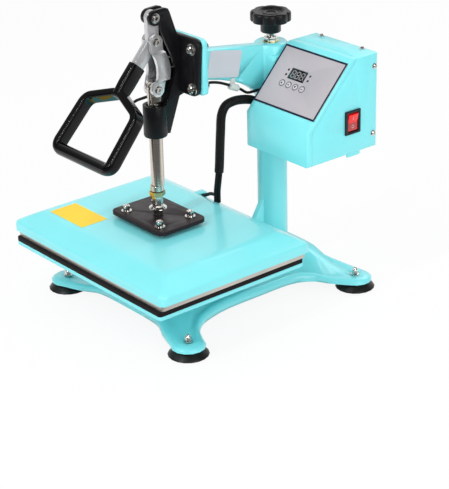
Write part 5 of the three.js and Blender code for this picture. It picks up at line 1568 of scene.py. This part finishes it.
@dataclass
class Cables(SubAssembly):
    """Heater cable in its sleeve, its thinner leads and the lever switch's cable."""

    shells: tuple[Shell, ...] = (
        Shell("heater_gland", "heater_cable_gland", SWITCH_BLACK),
        Shell("power_gland", "power_cable_gland", SWITCH_BLACK),
        Shell("lever_switch", "lever_switch_case", SWITCH_BLACK, bevel=0.6),
    )
    sleeve_route: tuple[Point, ...] = (
        (20.6, 151, 246), (18.6, 150.9, 246.1), (14.4, 147, 248), (12, 136, 250.5), (10.6, 121, 251.5),
        (9.5, 109, 248), (8.8, 103, 238), (8, 101, 215), (7, 100, 190), (5.5, 99.5, 165), (2, 100, 146),
        (-4, 103, 130), (-7.4, 105.6, 119), (-8.6, 106.6, 111.8),
    )
    sensor_route: tuple[Point, ...] = (
        (26.5, 167, 262), (24, 166.8, 262), (16, 156, 259), (12, 143, 258), (10.6, 134, 264),
        (10.3, 124, 269.5), (10.3, 112, 275.5), (10.2, 96, 282), (10.2, 80, 285), (6, 66, 281),
        (-6, 56, 276), (-20, 44, 262), (-30, 30, 246), (-36, 14, 238), (-40, 3, 244), (-40, -1, 256),
        (-35, -0.5, 268), (-25, 10, 274.5), (-17.6, 15, 278.5), (-16.8, 15.4, 283.5),
    )
    branch_route: tuple[Point, ...] = (
        (-5.5, 104, 126), (-13, 106, 121.5), (-24, 108, 118.5), (-34, 109.5, 113.5), (-46, 110.2, 108.5),
    )
    sleeve_radius: float = 5.9
    sleeve_foot: float = 161.0
    lead_radius: float = 2.4
    lead_overlap: float = 0.3
    lead_start: int = 2
    lead_way: Point = (0.63, 0.77, 0.0)
    sensor_radius: float = 1.8
    branch_radius: float = 2.3
    joint: str = "lever_swing"
    fixed_top: float = 257.2
    keep: float = 0.832
    clip_from: Point = (10.9, 114.8, 273.4)
    clip_to: Point = (10.9, 128.6, 266.9)
    clip_radius: float = 4.4
    clip_ends: tuple[Pair, ...] = ((1.4, 0.0), (0.4, 0.5), (0.0, 1.6))
    tab_outline: tuple[float, ...] = (7.0, 11.0, 1.5, 0.0, 5.5)
    tab_levels: Pair = (-2.5, -1.2)

    def build(self) -> None:
        """Lays the cables and dresses what holds them."""
        self._heater_cable()
        self._sensor_cable()
        self._clip()
        self.dress()

    def _heater_cable(self) -> None:
        """Lays the sleeve, which parts into two leads and a branch."""
        path = smooth_path(self.sleeve_route)
        split = next(index for index, point in enumerate(path) if point.z < self.sleeve_foot * MILLIMETRE)
        jacket = Shaper().tube(path[:split + 1], self.sleeve_radius, sides=28)
        for side in (-1, 1):
            offset = Vector(self.lead_way) * side * (self.lead_radius - self.lead_overlap) * MILLIMETRE
            beside = [point + offset for point in path[split - self.lead_start:]]
            jacket.tube(beside, self.lead_radius, sides=16)
        sleeve = self.workshop.piece("heater_cable_jacket", jacket, CABLE_JACKET, "arm", ("heater_cable",),
                                     crease=60)
        branch = Shaper().tube(smooth_path(self.branch_route), self.branch_radius, sides=16)
        lead = self.workshop.piece("sensor_lead", branch, CABLE_JACKET, "arm", crease=60)
        for thing in (sleeve, lead):
            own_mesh(thing)

    def _sensor_cable(self) -> None:
        """Lays the lever switch's thin cable."""
        thin = smooth_path(self.sensor_route)
        wire = Shaper().tube(thin, self.sensor_radius, sides=14)
        cable = self.workshop.piece("sensor_cable_jacket", wire, CABLE_JACKET, "arm", ("sensor_cable",),
                                    crease=60)

    def _clip(self) -> None:
        """Moulds the round clip that holds the thin cable under the arm."""
        start, end = mm(*self.clip_from), mm(*self.clip_to)
        reach = (end - start).length / MILLIMETRE
        profile = [(0, 0), *((self.clip_radius - inset, level) for inset, level in self.clip_ends),
                   *((self.clip_radius - inset, reach - level) for inset, level in reversed(self.clip_ends)),
                   (0, reach)]
        shape = Shaper().lathe(profile, frame_at(start, end - start), sides=32)
        shape.slab(round_corners(*self.tab_outline), *self.tab_levels, frame_at((start + end) / 2, RIGHT, AWAY))
        self.workshop.piece("nylon_clip", shape, NATURAL_NYLON, "arm", ("cable_clip",))


def main() -> None:
    """Builds the studio and the press in order."""
    logging.basicConfig(level=logging.INFO, format="%(name)s: %(message)s")
    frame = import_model()
    bpy.context.scene.view_settings.view_transform = "Standard"
    Studio().build()
    workshop = Workshop(frame)
    for assembly in (Cables, CastBase, SwingArm, PressureScrew, ToggleLever, Plunger, ControlBox):
        assembly(workshop).build()


if __name__ == "__main__":
    main()
